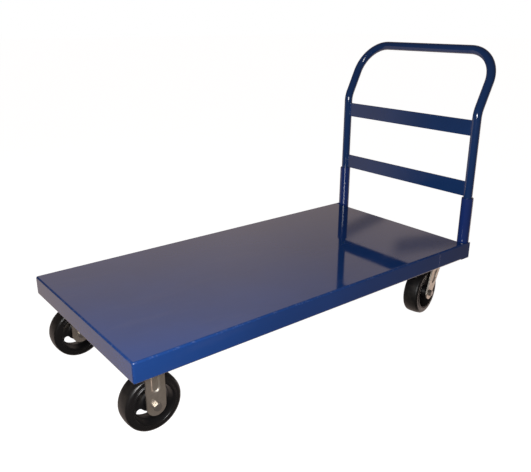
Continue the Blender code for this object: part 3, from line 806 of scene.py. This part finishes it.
# ---------------------------------------------------------------------------- deck
class CART_OT_deck(bpy.types.Operator):
    """Make the folded deck pan with its ground corners, lips and ears"""

    bl_idname = "cart.deck"
    bl_label = "Deck Pan"

    def execute(self, context):
        deck = context.scene.cart_deck
        low, high = deck_corners()
        _, ear_high = corners("deck_pan")
        size = high - low
        shape = bmesh.new()
        bmesh.ops.create_cube(shape, size=1.0, matrix=Matrix.Diagonal((*size, 1)))
        uprights = [edge for edge in shape.edges
                    if abs(edge.verts[0].co.z - edge.verts[1].co.z) > size.z / 2]
        bmesh.ops.bevel(shape, geom=uprights, offset=deck.corner_bend, segments=deck.bend_steps,
                        affect="EDGES", profile=0.5)
        top_and_bottom = [edge for edge in shape.edges
                          if abs(edge.verts[0].co.z - edge.verts[1].co.z) < MERGE]
        bmesh.ops.bevel(shape, geom=top_and_bottom, offset=deck.top_bend, segments=deck.bend_steps,
                        affect="EDGES", profile=0.5)
        bottom = min(shape.faces, key=lambda face: face.calc_center_median().z)
        bmesh.ops.inset_region(shape, faces=[bottom], thickness=deck.lip - deck.top_bend)
        bmesh.ops.delete(shape, geom=[bottom], context="FACES")
        pan = modified(to_mesh("deck", shape), solidify(deck.sheet))
        pan = modified(pan, bevel(0.0006, 2, 60))
        ears = []
        ear_height = size.z - deck.ear_drop
        reach = ear_high.x - high.x
        for sign in (-1, 1):
            ear_x = (size.x + reach - deck.ear_lap) / 2
            centre = (ear_x, sign * (size.y - deck.sheet) / 2, -deck.ear_drop / 2)
            ear = box((reach + deck.ear_lap, deck.sheet, ear_height), centre)
            ears.append(modified(ear, bevel(0.0009, 3)))
        pan = combined(pan, "UNION", ears)
        finished("deck_shell", pan, "chassis", ["deck_pan"], look("deck_enamel"), "blue_paint",
                 Matrix.Translation((low + high) / 2))
        return {"FINISHED"}


class CART_OT_cross_members(bpy.types.Operator):
    """Paint the channels and stiffeners under the deck"""

    bl_idname = "cart.cross_members"
    bl_label = "Cross Members"

    def execute(self, context):
        for node in ("front_caster_channel", "rear_caster_channel", "front_deck_stiffener",
                     "rear_deck_stiffener"):
            materials = frame["nodes"][node].data.materials
            materials.clear()
            materials.append(look("gloss_enamel"))
        return {"FINISHED"}


# ---------------------------------------------------------------------------- handle
class CART_OT_sockets(bpy.types.Operator):
    """Turn the two pipe sockets that hold the handle"""

    bl_idname = "cart.sockets"
    bl_label = "Handle Sockets"

    def execute(self, context):
        handle = context.scene.cart_handle
        for side in SIDES:
            node = f"{side}_handle_socket"
            low, high = corners(node)
            radius = (high.y - low.y) / 2
            bore = handle.socket_bore
            floor = low.z + handle.socket_floor
            rim = 0.0012
            profile = [(0, floor), (bore, floor), (bore, high.z - rim)]
            profile += arc((bore + rim, high.z - rim), rim, 180, 90, 4)[1:]
            profile += arc((radius - rim, high.z - rim), rim, 90, 0, 4)
            profile += arc((radius - rim, low.z + rim), rim, 0, -90, 4)
            profile += [(0, low.z)]
            centre = Matrix.Translation((middle(node).x, middle(node).y, 0))
            finished(f"{side}_socket_pipe", lathe(profile, 64, closed=False), "chassis", [node],
                     look("socket_enamel"), "blue_paint", centre)
        return {"FINISHED"}


class CART_OT_handle(bpy.types.Operator):
    """Bend the handle's tube and round off its two crossbars"""

    bl_idname = "cart.handle"
    bl_label = "Handle"

    def execute(self, context):
        handle = context.scene.cart_handle
        low, high = corners("handle_tube")
        foot = middle("left_handle_socket")
        radius = foot.x - low.x
        left_y = middle("left_handle_socket").y
        right_y = middle("right_handle_socket").y
        top = Vector((high.x - radius, 0, high.z - radius))
        points = [(foot.x, left_y, low.z), (foot.x, left_y, handle.kink_height), (top.x, left_y, top.z),
                  (top.x, right_y, top.z), (foot.x, right_y, handle.kink_height), (foot.x, right_y, low.z)]
        bends = [0.0, handle.kink_radius, handle.corner_radius, handle.corner_radius, handle.kink_radius, 0.0]
        skin = bent_tube_tree().grown(polyline(points, bends), {
            "Tube Radius": radius, "Bend Steps": handle.bend_steps, "Ring Steps": handle.ring_steps,
            "Material": look("handle_enamel")})
        tube = modified(skin, solidify(handle.wall), bevel(0.0004, 2, 60))
        finished("push_handle", tube, "handle", ["handle_tube"], look("handle_enamel"), "blue_paint")
        for node in ("lower_crossbar", "upper_crossbar"):
            low, high = corners(node)
            bar = modified(box(high - low), bevel(handle.bar_edge, 4))
            finished(f"{node}_flat", bar, "handle", [node], look("handle_enamel"), "blue_paint",
                     Matrix.Translation((low + high) / 2))
        return {"FINISHED"}


def upright(x, y, bottom, top):
    """The two ends of an upright seam."""
    return [Vector((x, y, bottom)), Vector((x, y, top))]


class CART_OT_welds(bpy.types.Operator):
    """Run weld beads at the crossbars' ends, along the sockets and up the deck's seams"""

    bl_idname = "cart.welds"
    bl_label = "Weld Beads"

    @staticmethod
    def crossbar_seams():
        """Upright seams on both faces of each bar's ends."""
        seams = []
        for node in ("lower_crossbar", "upper_crossbar"):
            low, high = corners(node)
            for y in (low.y, high.y):
                for x in (low.x, high.x):
                    seams.append(upright(x, y, low.z + 0.003, high.z - 0.003))
        return seams

    @staticmethod
    def socket_seams():
        """Beads down both sides of a socket's line on the end flange, and along its ear."""
        low, high = deck_corners()
        sheet = bpy.context.scene.cart_deck.sheet
        beside = 0.30
        ear_gap = 0.0055
        seams = []
        for side in SIDES:
            socket_low, socket_high = corners(f"{side}_handle_socket")
            centre = (socket_low + socket_high) / 2
            radius = (socket_high.y - socket_low.y) / 2
            outward = 1 if centre.y > 0 else -1
            ear_y = outward * (high.y - sheet)
            for turn in (-beside, beside):
                x = centre.x - radius * math.cos(turn)
                y = centre.y + radius * math.sin(turn)
                x = (x + high.x) / 2
                seams.append(upright(x, y, low.z + 0.004, high.z - 0.002))
            y = (centre.y + outward * radius + ear_y) / 2
            for dx in (-ear_gap, ear_gap):
                x = centre.x + dx
                seams.append(upright(x, y, low.z + 0.004, high.z - 0.003))
        return seams

    @staticmethod
    def deck_seams(radius):
        """Nearly flush beads up the deck's corners, and up its sides where the rear channel ends."""
        low, high = deck_corners()
        proud = 0.0003
        bend = bpy.context.scene.cart_deck.corner_bend
        channel_low, _ = corners("rear_caster_channel")
        sunk = radius - proud
        inset = bend - (bend - sunk) * math.sqrt(0.5)
        plan = [(x, y) for x in (low.x + inset, high.x - inset) for y in (low.y + inset, high.y - inset)]
        plan += [(channel_low.x, y) for y in (low.y + sunk, high.y - sunk)]
        return [upright(x, y, low.z + 0.005, high.z - 0.007) for x, y in plan]

    def bead(self, context, name, seams, body):
        weld = context.scene.cart_weld
        lines = gathered("seams", [polyline(seam) for seam in seams])
        mesh = weld_tree().grown(lines, {
            "Bead Radius": weld.bead_radius, "Ripple Pitch": weld.ripple_pitch,
            "Ripple Depth": weld.ripple_depth, "Wander": weld.wander, "Material": look("weld_enamel")})
        finished(name, mesh, body, [], look("weld_enamel"), "blue_paint", sharp=60.0)

    def execute(self, context):
        self.bead(context, "crossbar_welds", self.crossbar_seams(), "handle")
        self.bead(context, "socket_welds", self.socket_seams(), "chassis")
        deck_seams = self.deck_seams(context.scene.cart_weld.bead_radius)
        self.bead(context, "deck_welds", deck_seams, "chassis")
        return {"FINISHED"}


# ---------------------------------------------------------------------------- casters
def fork_strap(caster, web, width_at, shift_at, foot_z, foot_radius, rib_low):
    """A strap bent into an upside-down U, with rounded feet and a pressed rib on each leg."""
    half = caster.half_width - caster.leg_sheet / 2
    bend = caster.fork_bend
    straight = web - bend - foot_z
    feet = foot_radius * math.pi / 2
    curve = bend * math.pi / 2
    flat = half - bend
    total = feet + straight + curve + flat
    rib_slope = 0.0030
    rib_fade = 0.012

    def section(travel):
        """Height, outward place, half width and outward lean at a distance from the foot's tip."""
        if travel < feet:
            angle = travel / foot_radius
            return foot_z - foot_radius * math.cos(angle), half, foot_radius * math.sin(angle), 1.0
        travel -= feet
        if travel < straight:
            height = foot_z + travel
            return height, half, width_at(height), 1.0
        travel -= straight
        if travel < curve:
            angle = travel / bend
            height = web - bend + bend * math.sin(angle)
            return height, half - bend + bend * math.cos(angle), width_at(height), 0.0
        return web, flat - (travel - curve), width_at(web), 0.0

    def position(u, v):
        side = -1 if v < 0.5 else 1
        travel = total * (1 - abs(2 * v - 1))
        height, out, width, upright = section(travel)
        x = (2 * u - 1) * width
        along_rib = max(rib_low - height, 0.0)
        distance = math.hypot(x, along_rib)
        edge = (caster.rib_half_width - distance) / rib_slope
        swell = max(0.0, min(1.0, edge))
        rise = -swell * swell * (3 - 2 * swell) * caster.rib_depth * upright
        fade = max(0.0, min(1.0, (web - bend - height) / rib_fade))
        return Vector((x + shift_at(height), side * (out + rise * fade), height))

    strap = sheet_grid(columns=30, rows=150, position=position)
    return modified(strap, solidify(caster.leg_sheet, 0.0), bevel(0.0018, 3, 50))


def drilled(mesh, holes):
    """Round holes through a mesh: each one a (matrix, radius) with its line along Z."""
    reach = 0.2
    cutters = []
    for matrix, radius in holes:
        profile = [(0, -reach), (radius, -reach), (radius, reach), (0, reach)]
        cutters.append(moved(lathe(profile, 32, closed=False), matrix))
    return combined(mesh, "DIFFERENCE", cutters)


def bolt_places(prefix):
    """The four plate bolts' places in a caster's own plan, from their nodes."""
    centre = fork_centre(prefix)
    places = []
    for number in range(1, 5):
        spot = middle(f"{prefix}_plate_bolt_{number}")
        places.append((spot.x - centre.x, spot.y - centre.y))
    return places


def fork_centre(prefix):
    name = f"{prefix}_swivel" if prefix.startswith("rear") else f"{prefix}_wheel_spin"
    point, _ = joint(name)
    return Vector((point.x, point.y, 0))


def plate_mesh(prefix, caster, top):
    """The top plate, with rounded corners and its four bolt holes."""
    hole = 0.0054
    steps = 23
    node = f"{prefix}_swivel_plate" if prefix.startswith("rear") else f"{prefix}_rigid_fork"
    low, high = corners(node)
    outlines = [rounded_rectangle(high.x - low.x, high.y - low.y, caster.plate_corner)]
    for x, y in bolt_places(prefix):
        outlines.append(arc((x, y), hole, 0, 360 * steps / (steps + 1), steps))
    plate = flat_plate(outlines, caster.plate, 0.0005)
    return moved(plate, raised(top - caster.plate / 2))


class CART_OT_rigid_forks(bpy.types.Operator):
    """Press the rigid casters' forks and weld them to their plates"""

    bl_idname = "cart.rigid_forks"
    bl_label = "Rigid Forks"

    rib_low = 0.125

    def execute(self, context):
        caster = context.scene.cart_caster
        for side in SIDES:
            prefix = f"front_{side}"
            node = f"{prefix}_rigid_fork"
            low, high = corners(node)
            axle, _ = joint(f"{prefix}_wheel_spin")
            foot = axle.z - low.z
            web = high.z - caster.plate - caster.leg_sheet / 2
            strap = fork_strap(caster, web, lambda height: foot, lambda height: 0.0, axle.z, foot,
                               self.rib_low)
            turn = raised(axle.z) @ ON_ITS_SIDE
            strap = drilled(strap, [(turn, caster.axle_radius + 2 * GAP)])
            whole = gathered(node, [strap, plate_mesh(prefix, caster, high.z)])
            finished(f"{prefix}_fixed_fork", whole, "chassis", [node], look("zinc_plate"), "zinc_steel",
                     Matrix.Translation(fork_centre(prefix)))
        return {"FINISHED"}


class CART_OT_swivel_forks(bpy.types.Operator):
    """Press the trailing forks that turn under the swivel plates"""

    bl_idname = "cart.swivel_forks"
    bl_label = "Swivel Forks"

    rib_low = 0.118
    crown = 0.034
    pin_hole = 0.0086

    def execute(self, context):
        caster = context.scene.cart_caster
        for side in SIDES:
            prefix = f"rear_{side}"
            node = f"{prefix}_swivel_fork"
            axle, _ = joint(f"{prefix}_wheel_spin")
            trail = (Vector((axle.x, axle.y, 0)) - fork_centre(prefix)).length
            low, _ = corners(node)
            foot = axle.z - low.z
            web = caster.crown_top - caster.leg_sheet / 2

            def share(height):
                return max(0.0, min(1.0, (height - axle.z) / (web - axle.z)))

            def width_at(height):
                return foot + (self.crown - foot) * share(height) ** 1.4

            def shift_at(height):
                return trail * (1 - share(height))

            strap = fork_strap(caster, web, width_at, shift_at, axle.z, foot, self.rib_low)
            turn = Matrix.Translation((trail, 0, axle.z)) @ ON_ITS_SIDE
            strap = drilled(strap, [(turn, caster.axle_radius + 2 * GAP),
                                    (raised(web), self.pin_hole)])
            finished(f"{prefix}_trailing_fork", strap, f"{prefix}_fork", [node], look("zinc_plate"),
                     "zinc_steel", fork_place(prefix))
        return {"FINISHED"}


class CART_OT_swivel_heads(bpy.types.Operator):
    """Make the swivel plates with their races, the balls and the kingpins"""

    bl_idname = "cart.swivel_heads"
    bl_label = "Swivel Heads"

    pin_hole = 0.0083

    @staticmethod
    def race_mesh(low, top):
        """The pressed race under a plate: a dished ring that narrows towards the balls."""
        profile = [(0.0083, low), (0.0260, low), (0.0295, low + 0.0012), (0.0310, low + 0.0040),
                   (0.0310, top - 0.0065), (0.0330, top - 0.0030), (0.0375, top - 0.0008), (0.0380, top),
                   (0.0083, top)]
        return lathe(profile, 64)

    @staticmethod
    def balls_mesh(caster, low, high, outer):
        """Steel balls in a thin cage."""
        radius = (high - low) / 2
        ring = outer - radius - 0.0005
        ball = bmesh.new()
        bmesh.ops.create_icosphere(ball, subdivisions=2, radius=radius)
        centre = (low + high) / 2
        places = []
        for i in range(caster.ball_count):
            angle = math.tau * i / caster.ball_count
            places.append((ring * math.cos(angle), ring * math.sin(angle), centre))
        balls = scattered("swivel_balls", to_mesh("ball", ball), places, 3, "bearing_steel")
        thick = radius * 0.35
        cage_bore = 0.0125
        cage = lathe([(cage_bore, centre - thick), (ring, centre - thick), (ring, centre + thick),
                      (cage_bore, centre + thick)], 48)
        return gathered("ball_race", [balls, cage])

    @staticmethod
    def kingpin_mesh(low, high, nut_top):
        """A flush pin with a hexagon nut on its thread."""
        rod = threaded_rod(0.0080, -high, -low, 0.0015)
        nut = hexagon_head(0.0135, low + 0.001 - nut_top, 0, 0.0022)
        nut = moved(nut, raised(low + 0.001) @ UPSIDE_DOWN)
        return gathered("kingpin", [moved(rod, UPSIDE_DOWN), nut])

    def execute(self, context):
        caster = context.scene.cart_caster
        for side in SIDES:
            prefix = f"rear_{side}"
            place = Matrix.Translation(fork_centre(prefix))
            plate_low, plate_high = corners(f"{prefix}_swivel_plate")
            plate = plate_mesh(prefix, caster, plate_high.z)
            plate = drilled(plate, [(Matrix.Identity(4), self.pin_hole)])
            race = self.race_mesh(plate_low.z, plate_high.z - caster.plate)
            finished(f"{prefix}_swivel_top", gathered("swivel_top", [plate, race]), "chassis",
                     [f"{prefix}_swivel_plate"], look("zinc_plate"), "zinc_steel", place)
            ball_low, ball_high = corners(f"{prefix}_ball_ring")
            outer = (ball_high.x - ball_low.x) / 2
            finished(f"{prefix}_ball_race", self.balls_mesh(caster, ball_low.z, ball_high.z, outer),
                     f"{prefix}_fork", [f"{prefix}_ball_ring"], look("bearing_steel"), "bearing_steel", place)
            pin_low, pin_high = corners(f"{prefix}_kingpin")
            nut_top = caster.crown_top - caster.leg_sheet - GAP
            finished(f"{prefix}_king_bolt", self.kingpin_mesh(pin_low.z, pin_high.z, nut_top), "chassis",
                     [f"{prefix}_kingpin"], look("bolt_plate"), "bolt_steel", place)
        return {"FINISHED"}


class CART_OT_plate_bolts(bpy.types.Operator):
    """Set a bolt and nut at each hole of the caster plates"""

    bl_idname = "cart.plate_bolts"
    bl_label = "Plate Bolts"

    def execute(self, context):
        nodes = [f"{prefix}_plate_bolt_{number}" for prefix in AXLES for number in range(1, 5)]
        low, high = corners(nodes[0])
        _, plate_top = corners("front_left_rigid_fork")
        head_height = 0.0060
        nut_height = 0.0080
        hexagon = 0.0082
        channel_sheet = 0.004
        head_top = low.z + head_height
        nut_bottom = plate_top.z + 2 * GAP + channel_sheet
        head = hexagon_head(hexagon, 0, head_top - low.z, 0.0012)
        head = moved(head, raised(head_top) @ UPSIDE_DOWN)
        nut = hexagon_head(hexagon, nut_bottom, nut_bottom + nut_height, 0.0014)
        rod = threaded_rod(0.0047, head_top - GAP, high.z, 0.0016)
        places = [(middle(node).x, middle(node).y, 0) for node in nodes]
        bolts = scattered("plate_bolts", gathered("bolt", [head, nut, rod]), places, 11, "bolt_plate")
        finished("caster_plate_bolts", bolts, "chassis", nodes, look("bolt_plate"), "bolt_steel")
        return {"FINISHED"}


class CART_OT_axles(bpy.types.Operator):
    """Turn the axle bolts, nuts, bushes and roller bearings"""

    bl_idname = "cart.axles"
    bl_label = "Axles"

    def execute(self, context):
        caster = context.scene.cart_caster
        clamp = caster.half_width + GAP
        radius = caster.axle_radius
        hexagon = 0.0110
        end = clamp + 0.0130
        head = moved(hexagon_head(hexagon, 0, 0.0080, 0.0016), raised(clamp))
        rod = moved(threaded_rod(radius, -clamp - 0.001, end, 0.0018), UPSIDE_DOWN)
        bolt = gathered("axle_bolt", [head, rod])
        nut = moved(hexagon_head(hexagon, 0, 0.0095, 0.0018), raised(-clamp) @ UPSIDE_DOWN)
        nut = drilled(nut, [(Matrix.Identity(4), radius + 0.0001)])
        inside = clamp - GAP - caster.leg_sheet - GAP
        bush_bore = radius + 2 * GAP
        bush_skin = 0.0092
        bush = lathe([(bush_bore, -inside), (bush_skin, -inside), (bush_skin, inside),
                      (bush_bore, inside)], 32)
        half = 0.0255
        rollers = 0.0096
        sleeve = 0.0130
        chamfer = 0.0002
        bearing = lathe([(rollers, -half), (sleeve - chamfer, -half), (sleeve, chamfer - half),
                         (sleeve, half - chamfer), (sleeve - chamfer, half), (rollers, half)], 48)
        for prefix in AXLES:
            place = axle_place(prefix)
            holder = "chassis" if prefix.startswith("front") else f"{prefix}_fork"
            wheel = f"{prefix}_wheel"
            for piece, mesh, body, node, finish, slot in (
                    ("hex_axle", bolt, holder, "axle_bolt", "bolt_plate", "bolt_steel"),
                    ("lock_nut", nut, holder, "axle_nut", "bolt_plate", "bolt_steel"),
                    ("spacer_bush", bush, holder, "axle_bush", "bearing_steel", "zinc_steel"),
                    ("bearing_sleeve", bearing, wheel, "roller_bearing", "bearing_steel", "bearing_steel")):
                finished(f"{prefix}_{piece}", mesh.copy(), body, [f"{prefix}_{node}"], look(finish),
                         slot, place)
        return {"FINISHED"}


# ---------------------------------------------------------------------------- wheels
def kidney(inner, outer, span, centre_angle):
    """A bean-shaped window between two radii, with round ends, angles in degrees."""
    end = (outer - inner) / 2
    ring = (outer + inner) / 2
    half = math.degrees(span) / 2 - math.degrees(end / ring)
    outline = []
    for radius, start, finish, back in ((outer, -half, half, 0), (inner, half, -half, 180)):
        outline += arc((0, 0), radius, centre_angle + start, centre_angle + finish, 14)
        turn = math.radians(centre_angle + finish)
        spot = (ring * math.cos(turn), ring * math.sin(turn))
        first = centre_angle + finish + back
        outline += arc(spot, end, first, first + 180, 10)[1:-1]
    return outline


def core_mesh(caster, rolled):
    """Hub, web with kidney windows and flared rim. One window's middle stands at the angle rolled."""
    hub = [(0.0133, -0.0275), (0.0165, -0.0275), (0.0178, -0.0265), (0.0186, -0.0180), (0.0215, -0.0060),
           (0.0262, -0.0034)]
    hub += [(radius, -height) for radius, height in reversed(hub)]
    rim_low = [(0.0482, -0.0030), (0.0490, -0.0070), (0.0508, -0.0160), (0.0520, -0.0236), (0.0528, -0.0250),
               (0.0547, -0.0250), (0.0557, -0.0238)]
    rim = rim_low + [(radius, -height) for radius, height in reversed(rim_low)]
    disc = lathe([(0.0180, -0.0035), (0.0492, -0.0035), (0.0492, 0.0035), (0.0180, 0.0035)], 96)
    cutters = []
    for i in range(caster.window_count):
        middle_angle = rolled + 360 / caster.window_count * i
        window = kidney(caster.window_inner, caster.window_outer, caster.window_span, middle_angle)
        cutters.append(prism(window, 0.02))
    web = modified(combined(disc, "DIFFERENCE", cutters), bevel(0.0011, 2, 50))
    return gathered("core", [lathe(hub, 72), lathe(rim, 96), web])


def tyre_mesh(radius):
    """A moulded tyre: a flank that steps down from the rim, deep round shoulders, a crowned tread."""
    bore = 0.0558
    edge = 0.0254
    step = 0.0006
    shoulder = 0.0085
    drop = 0.0012
    half = [(bore, 0.0), (bore, edge + step), (bore + step, edge + 2 * step), (0.0580, edge + 2 * step),
            (0.0586, edge + step), (0.0606, edge + step), (0.0612, edge)]
    half += arc((radius - shoulder - drop, edge - shoulder), shoulder, 90, 6, 9)
    half += [(radius - 0.0005, 0.0110), (radius - 0.0001, 0.0055), (radius, 0.0)]
    mirrored = [(r, -height) for r, height in reversed(half[1:-1])]
    return lathe(half + mirrored, 96)


class CART_OT_wheels(bpy.types.Operator):
    """Cast the wheel cores and mould the tyres"""

    bl_idname = "cart.wheels"
    bl_label = "Wheels"

    rolled = {"front_left": 244.0, "front_right": 240.0, "rear_left": 20.0, "rear_right": 75.0}

    def execute(self, context):
        caster = context.scene.cart_caster
        low, high = corners("front_left_tyre")
        tyre = tyre_mesh((high.z - low.z) / 2)
        for prefix in AXLES:
            place = axle_place(prefix)
            core = core_mesh(caster, self.rolled[prefix])
            finished(f"{prefix}_cast_core", core, f"{prefix}_wheel", [f"{prefix}_wheel_core"],
                     look("black_casting"), "black_iron", place)
            finished(f"{prefix}_rubber_tyre", tyre.copy(), f"{prefix}_wheel", [f"{prefix}_tyre"],
                     look("moulded_rubber"), "black_rubber", place)
        return {"FINISHED"}


# ---------------------------------------------------------------------------- stage
class CART_OT_stage(bpy.types.Operator):
    """Set the pale floor, the soft studio light and the camera"""

    bl_idname = "cart.stage"
    bl_label = "Stage"

    @staticmethod
    def floor():
        """A pale floor that glows by itself, lights nothing else and shows in no reflection."""
        shape = bmesh.new()
        bmesh.ops.create_grid(shape, x_segments=1, y_segments=1, size=30.0)
        piece = bpy.data.objects.new("studio_floor", to_mesh("studio_floor", shape))
        bpy.context.scene.collection.objects.link(piece)
        paper = bpy.data.materials.new("pale_paper")
        recipe = Recipe(paper)
        fibre = recipe.noise(recipe.place(), 40.0, 3.0)
        recipe.surface({"Base Color": recipe.mix(fibre * 0.3, (0.30, 0.30, 0.30, 1), (0.28, 0.28, 0.28, 1)),
                        "Roughness": 0.9, "Specular IOR Level": 0.0, "Emission Color": (1, 1, 1, 1),
                        "Emission Strength": 0.96})
        piece.data.materials.append(paper)
        piece.visible_glossy = False
        piece.visible_diffuse = False

    @staticmethod
    def surroundings(stage):
        """White to the camera. The cart mirrors a dim warm room: a lit wall and floor, two dark beams."""
        world = bpy.data.worlds.new("studio")
        bpy.context.scene.world = world
        recipe = Recipe(world)
        x, y, z = recipe.xyz(recipe.node("ShaderNodeTexCoord", output="Generated"))
        per_radian = 180 / math.pi
        bearing = x.math("ARCTAN2", y) * per_radian
        height = z.math("ARCSINE") * per_radian

        def band(value, low, low_full, high_full, high):
            """One from low_full to high_full, falling to nothing at low and at high."""
            return value.between(low, low_full) * value.between(high, high_full)

        def beam(slope, level, soft, start, full):
            """A stripe that falls to the right, soft along its edges and at its start."""
            return abs(height + bearing * slope - level).between(soft, 0.4) * bearing.between(start, full)

        wall = band(bearing, -8, 16, 75, 120) * (1.0 - bearing.between(34, 46) * 0.22)
        wall = wall * band(height, 0, 6, 28, 39)
        lit_floor = band(bearing, -54, -48, -4, 10) * height.between(-3, -8)
        near_floor = band(bearing, -4, 10, 85, 100) * height.between(-24, -33)
        side_floor = bearing.between(152, 118) * 0.25 + bearing.between(118, 104) * 1.9
        side_floor = side_floor * bearing.between(80, 95) * height.between(-3, -8)
        first_beam = beam(0.55, 44.5, 0.9, 45.5, 46.5) * bearing.between(50.6, 49.6)
        beams = first_beam.largest(beam(0.22, 31.4, 1.0, 50.3, 52.0))
        bright = wall.largest(lit_floor).largest(near_floor).largest(side_floor) * (1.0 - beams * 0.72)
        strength = stage.dim_level + bright * (stage.wall_level - stage.dim_level)
        warm_white = (1.0, 0.82, 0.745)
        room = recipe.node("ShaderNodeBackground",
                           inputs={"Color": rgb(warm_white), "Strength": strength})
        white = recipe.node("ShaderNodeBackground", inputs={"Color": (1, 1, 1, 1), "Strength": 1.0})
        seen = recipe.node("ShaderNodeLightPath", output="Is Camera Ray")
        mixed = recipe.node("ShaderNodeMixShader", inputs=[seen, room, white])
        recipe.node("ShaderNodeOutputWorld", inputs={"Surface": mixed})

    @staticmethod
    def soft_light(name, place, target, size, power, tall=None, mirrored=True):
        """A round lamp, or an upright one where tall is given. The cart can be kept from mirroring it."""
        light = bpy.data.lights.new(name, "AREA")
        light.shape = "RECTANGLE" if tall else "DISK"
        light.size = size
        light.size_y = tall or size
        light.energy = power
        lamp = bpy.data.objects.new(name, light)
        bpy.context.scene.collection.objects.link(lamp)
        lamp.location = place
        lamp.rotation_euler = (Vector(target) - Vector(place)).to_track_quat("-Z", "Y").to_euler()
        lamp.visible_camera = False
        lamp.visible_glossy = mirrored

    @staticmethod
    def camera(stage):
        data = bpy.data.cameras.new("camera")
        data.lens = stage.camera_lens
        data.sensor_width = 36.0
        camera = bpy.data.objects.new("camera", data)
        bpy.context.scene.collection.objects.link(camera)
        tilt = math.pi / 2 - stage.camera_elevation
        turn = Euler((tilt, 0, stage.camera_azimuth)).to_matrix() @ Matrix.Rotation(stage.camera_roll, 3, "Z")
        camera.matrix_world = Matrix.Translation(stage.camera_place) @ turn.to_4x4()
        bpy.context.scene.camera = camera

    def execute(self, context):
        stage = context.scene.cart_stage
        context.scene.view_settings.view_transform = "Standard"
        self.floor()
        self.surroundings(stage)
        under_camera = Vector((0, 0, -0.07))
        flash_place = Vector(stage.camera_place) + under_camera
        self.soft_light("key", (-1.0, -1.05, 0.75), (-0.45, -0.30, 0.20), 0.5, stage.key_power)
        self.soft_light("flash", flash_place, (0, 0, 0.3), 0.10, stage.flash_power)
        self.soft_light("strip", (-1.27, -0.44, 0.90), (0.6, 0.28, 0.30), 0.10, stage.strip_power, 0.32)
        self.soft_light("back", (-1.5, 2.2, 1.2), (0, 0, 0.2), 0.9, stage.back_power, mirrored=False)
        self.camera(stage)
        return {"FINISHED"}


# ---------------------------------------------------------------------------- panel and running order
class CART_PT_panel(bpy.types.Panel):
    """Lists the cart's pieces in the sidebar"""

    bl_idname = "CART_PT_panel"
    bl_label = "Platform Cart"
    bl_space_type = "VIEW_3D"
    bl_region_type = "UI"
    bl_category = "Cart"

    def draw(self, context):
        for operator in OPERATORS:
            self.layout.operator(operator.bl_idname)


OPERATORS = (CART_OT_deck, CART_OT_cross_members, CART_OT_sockets, CART_OT_handle, CART_OT_welds,
             CART_OT_rigid_forks, CART_OT_swivel_forks, CART_OT_swivel_heads, CART_OT_plate_bolts,
             CART_OT_axles, CART_OT_wheels, CART_OT_stage)
SETTINGS = {"cart_paint": PaintSettings, "cart_deck": DeckSettings, "cart_handle": HandleSettings,
            "cart_weld": WeldSettings, "cart_caster": CasterSettings, "cart_stage": StageSettings}


def register():
    for name, group in SETTINGS.items():
        bpy.utils.register_class(group)
        setattr(bpy.types.Scene, name, PointerProperty(type=group))
    for operator in OPERATORS:
        bpy.utils.register_class(operator)
    bpy.utils.register_class(CART_PT_panel)


def unregister():
    bpy.utils.unregister_class(CART_PT_panel)
    for operator in reversed(OPERATORS):
        bpy.utils.unregister_class(operator)
    for name, group in reversed(list(SETTINGS.items())):
        delattr(bpy.types.Scene, name)
        bpy.utils.unregister_class(group)


def main():
    register()
    for operator in OPERATORS:
        group, action = operator.bl_idname.split(".")
        getattr(getattr(bpy.ops, group), action)()
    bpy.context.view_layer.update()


if __name__ == "__main__":
    main()
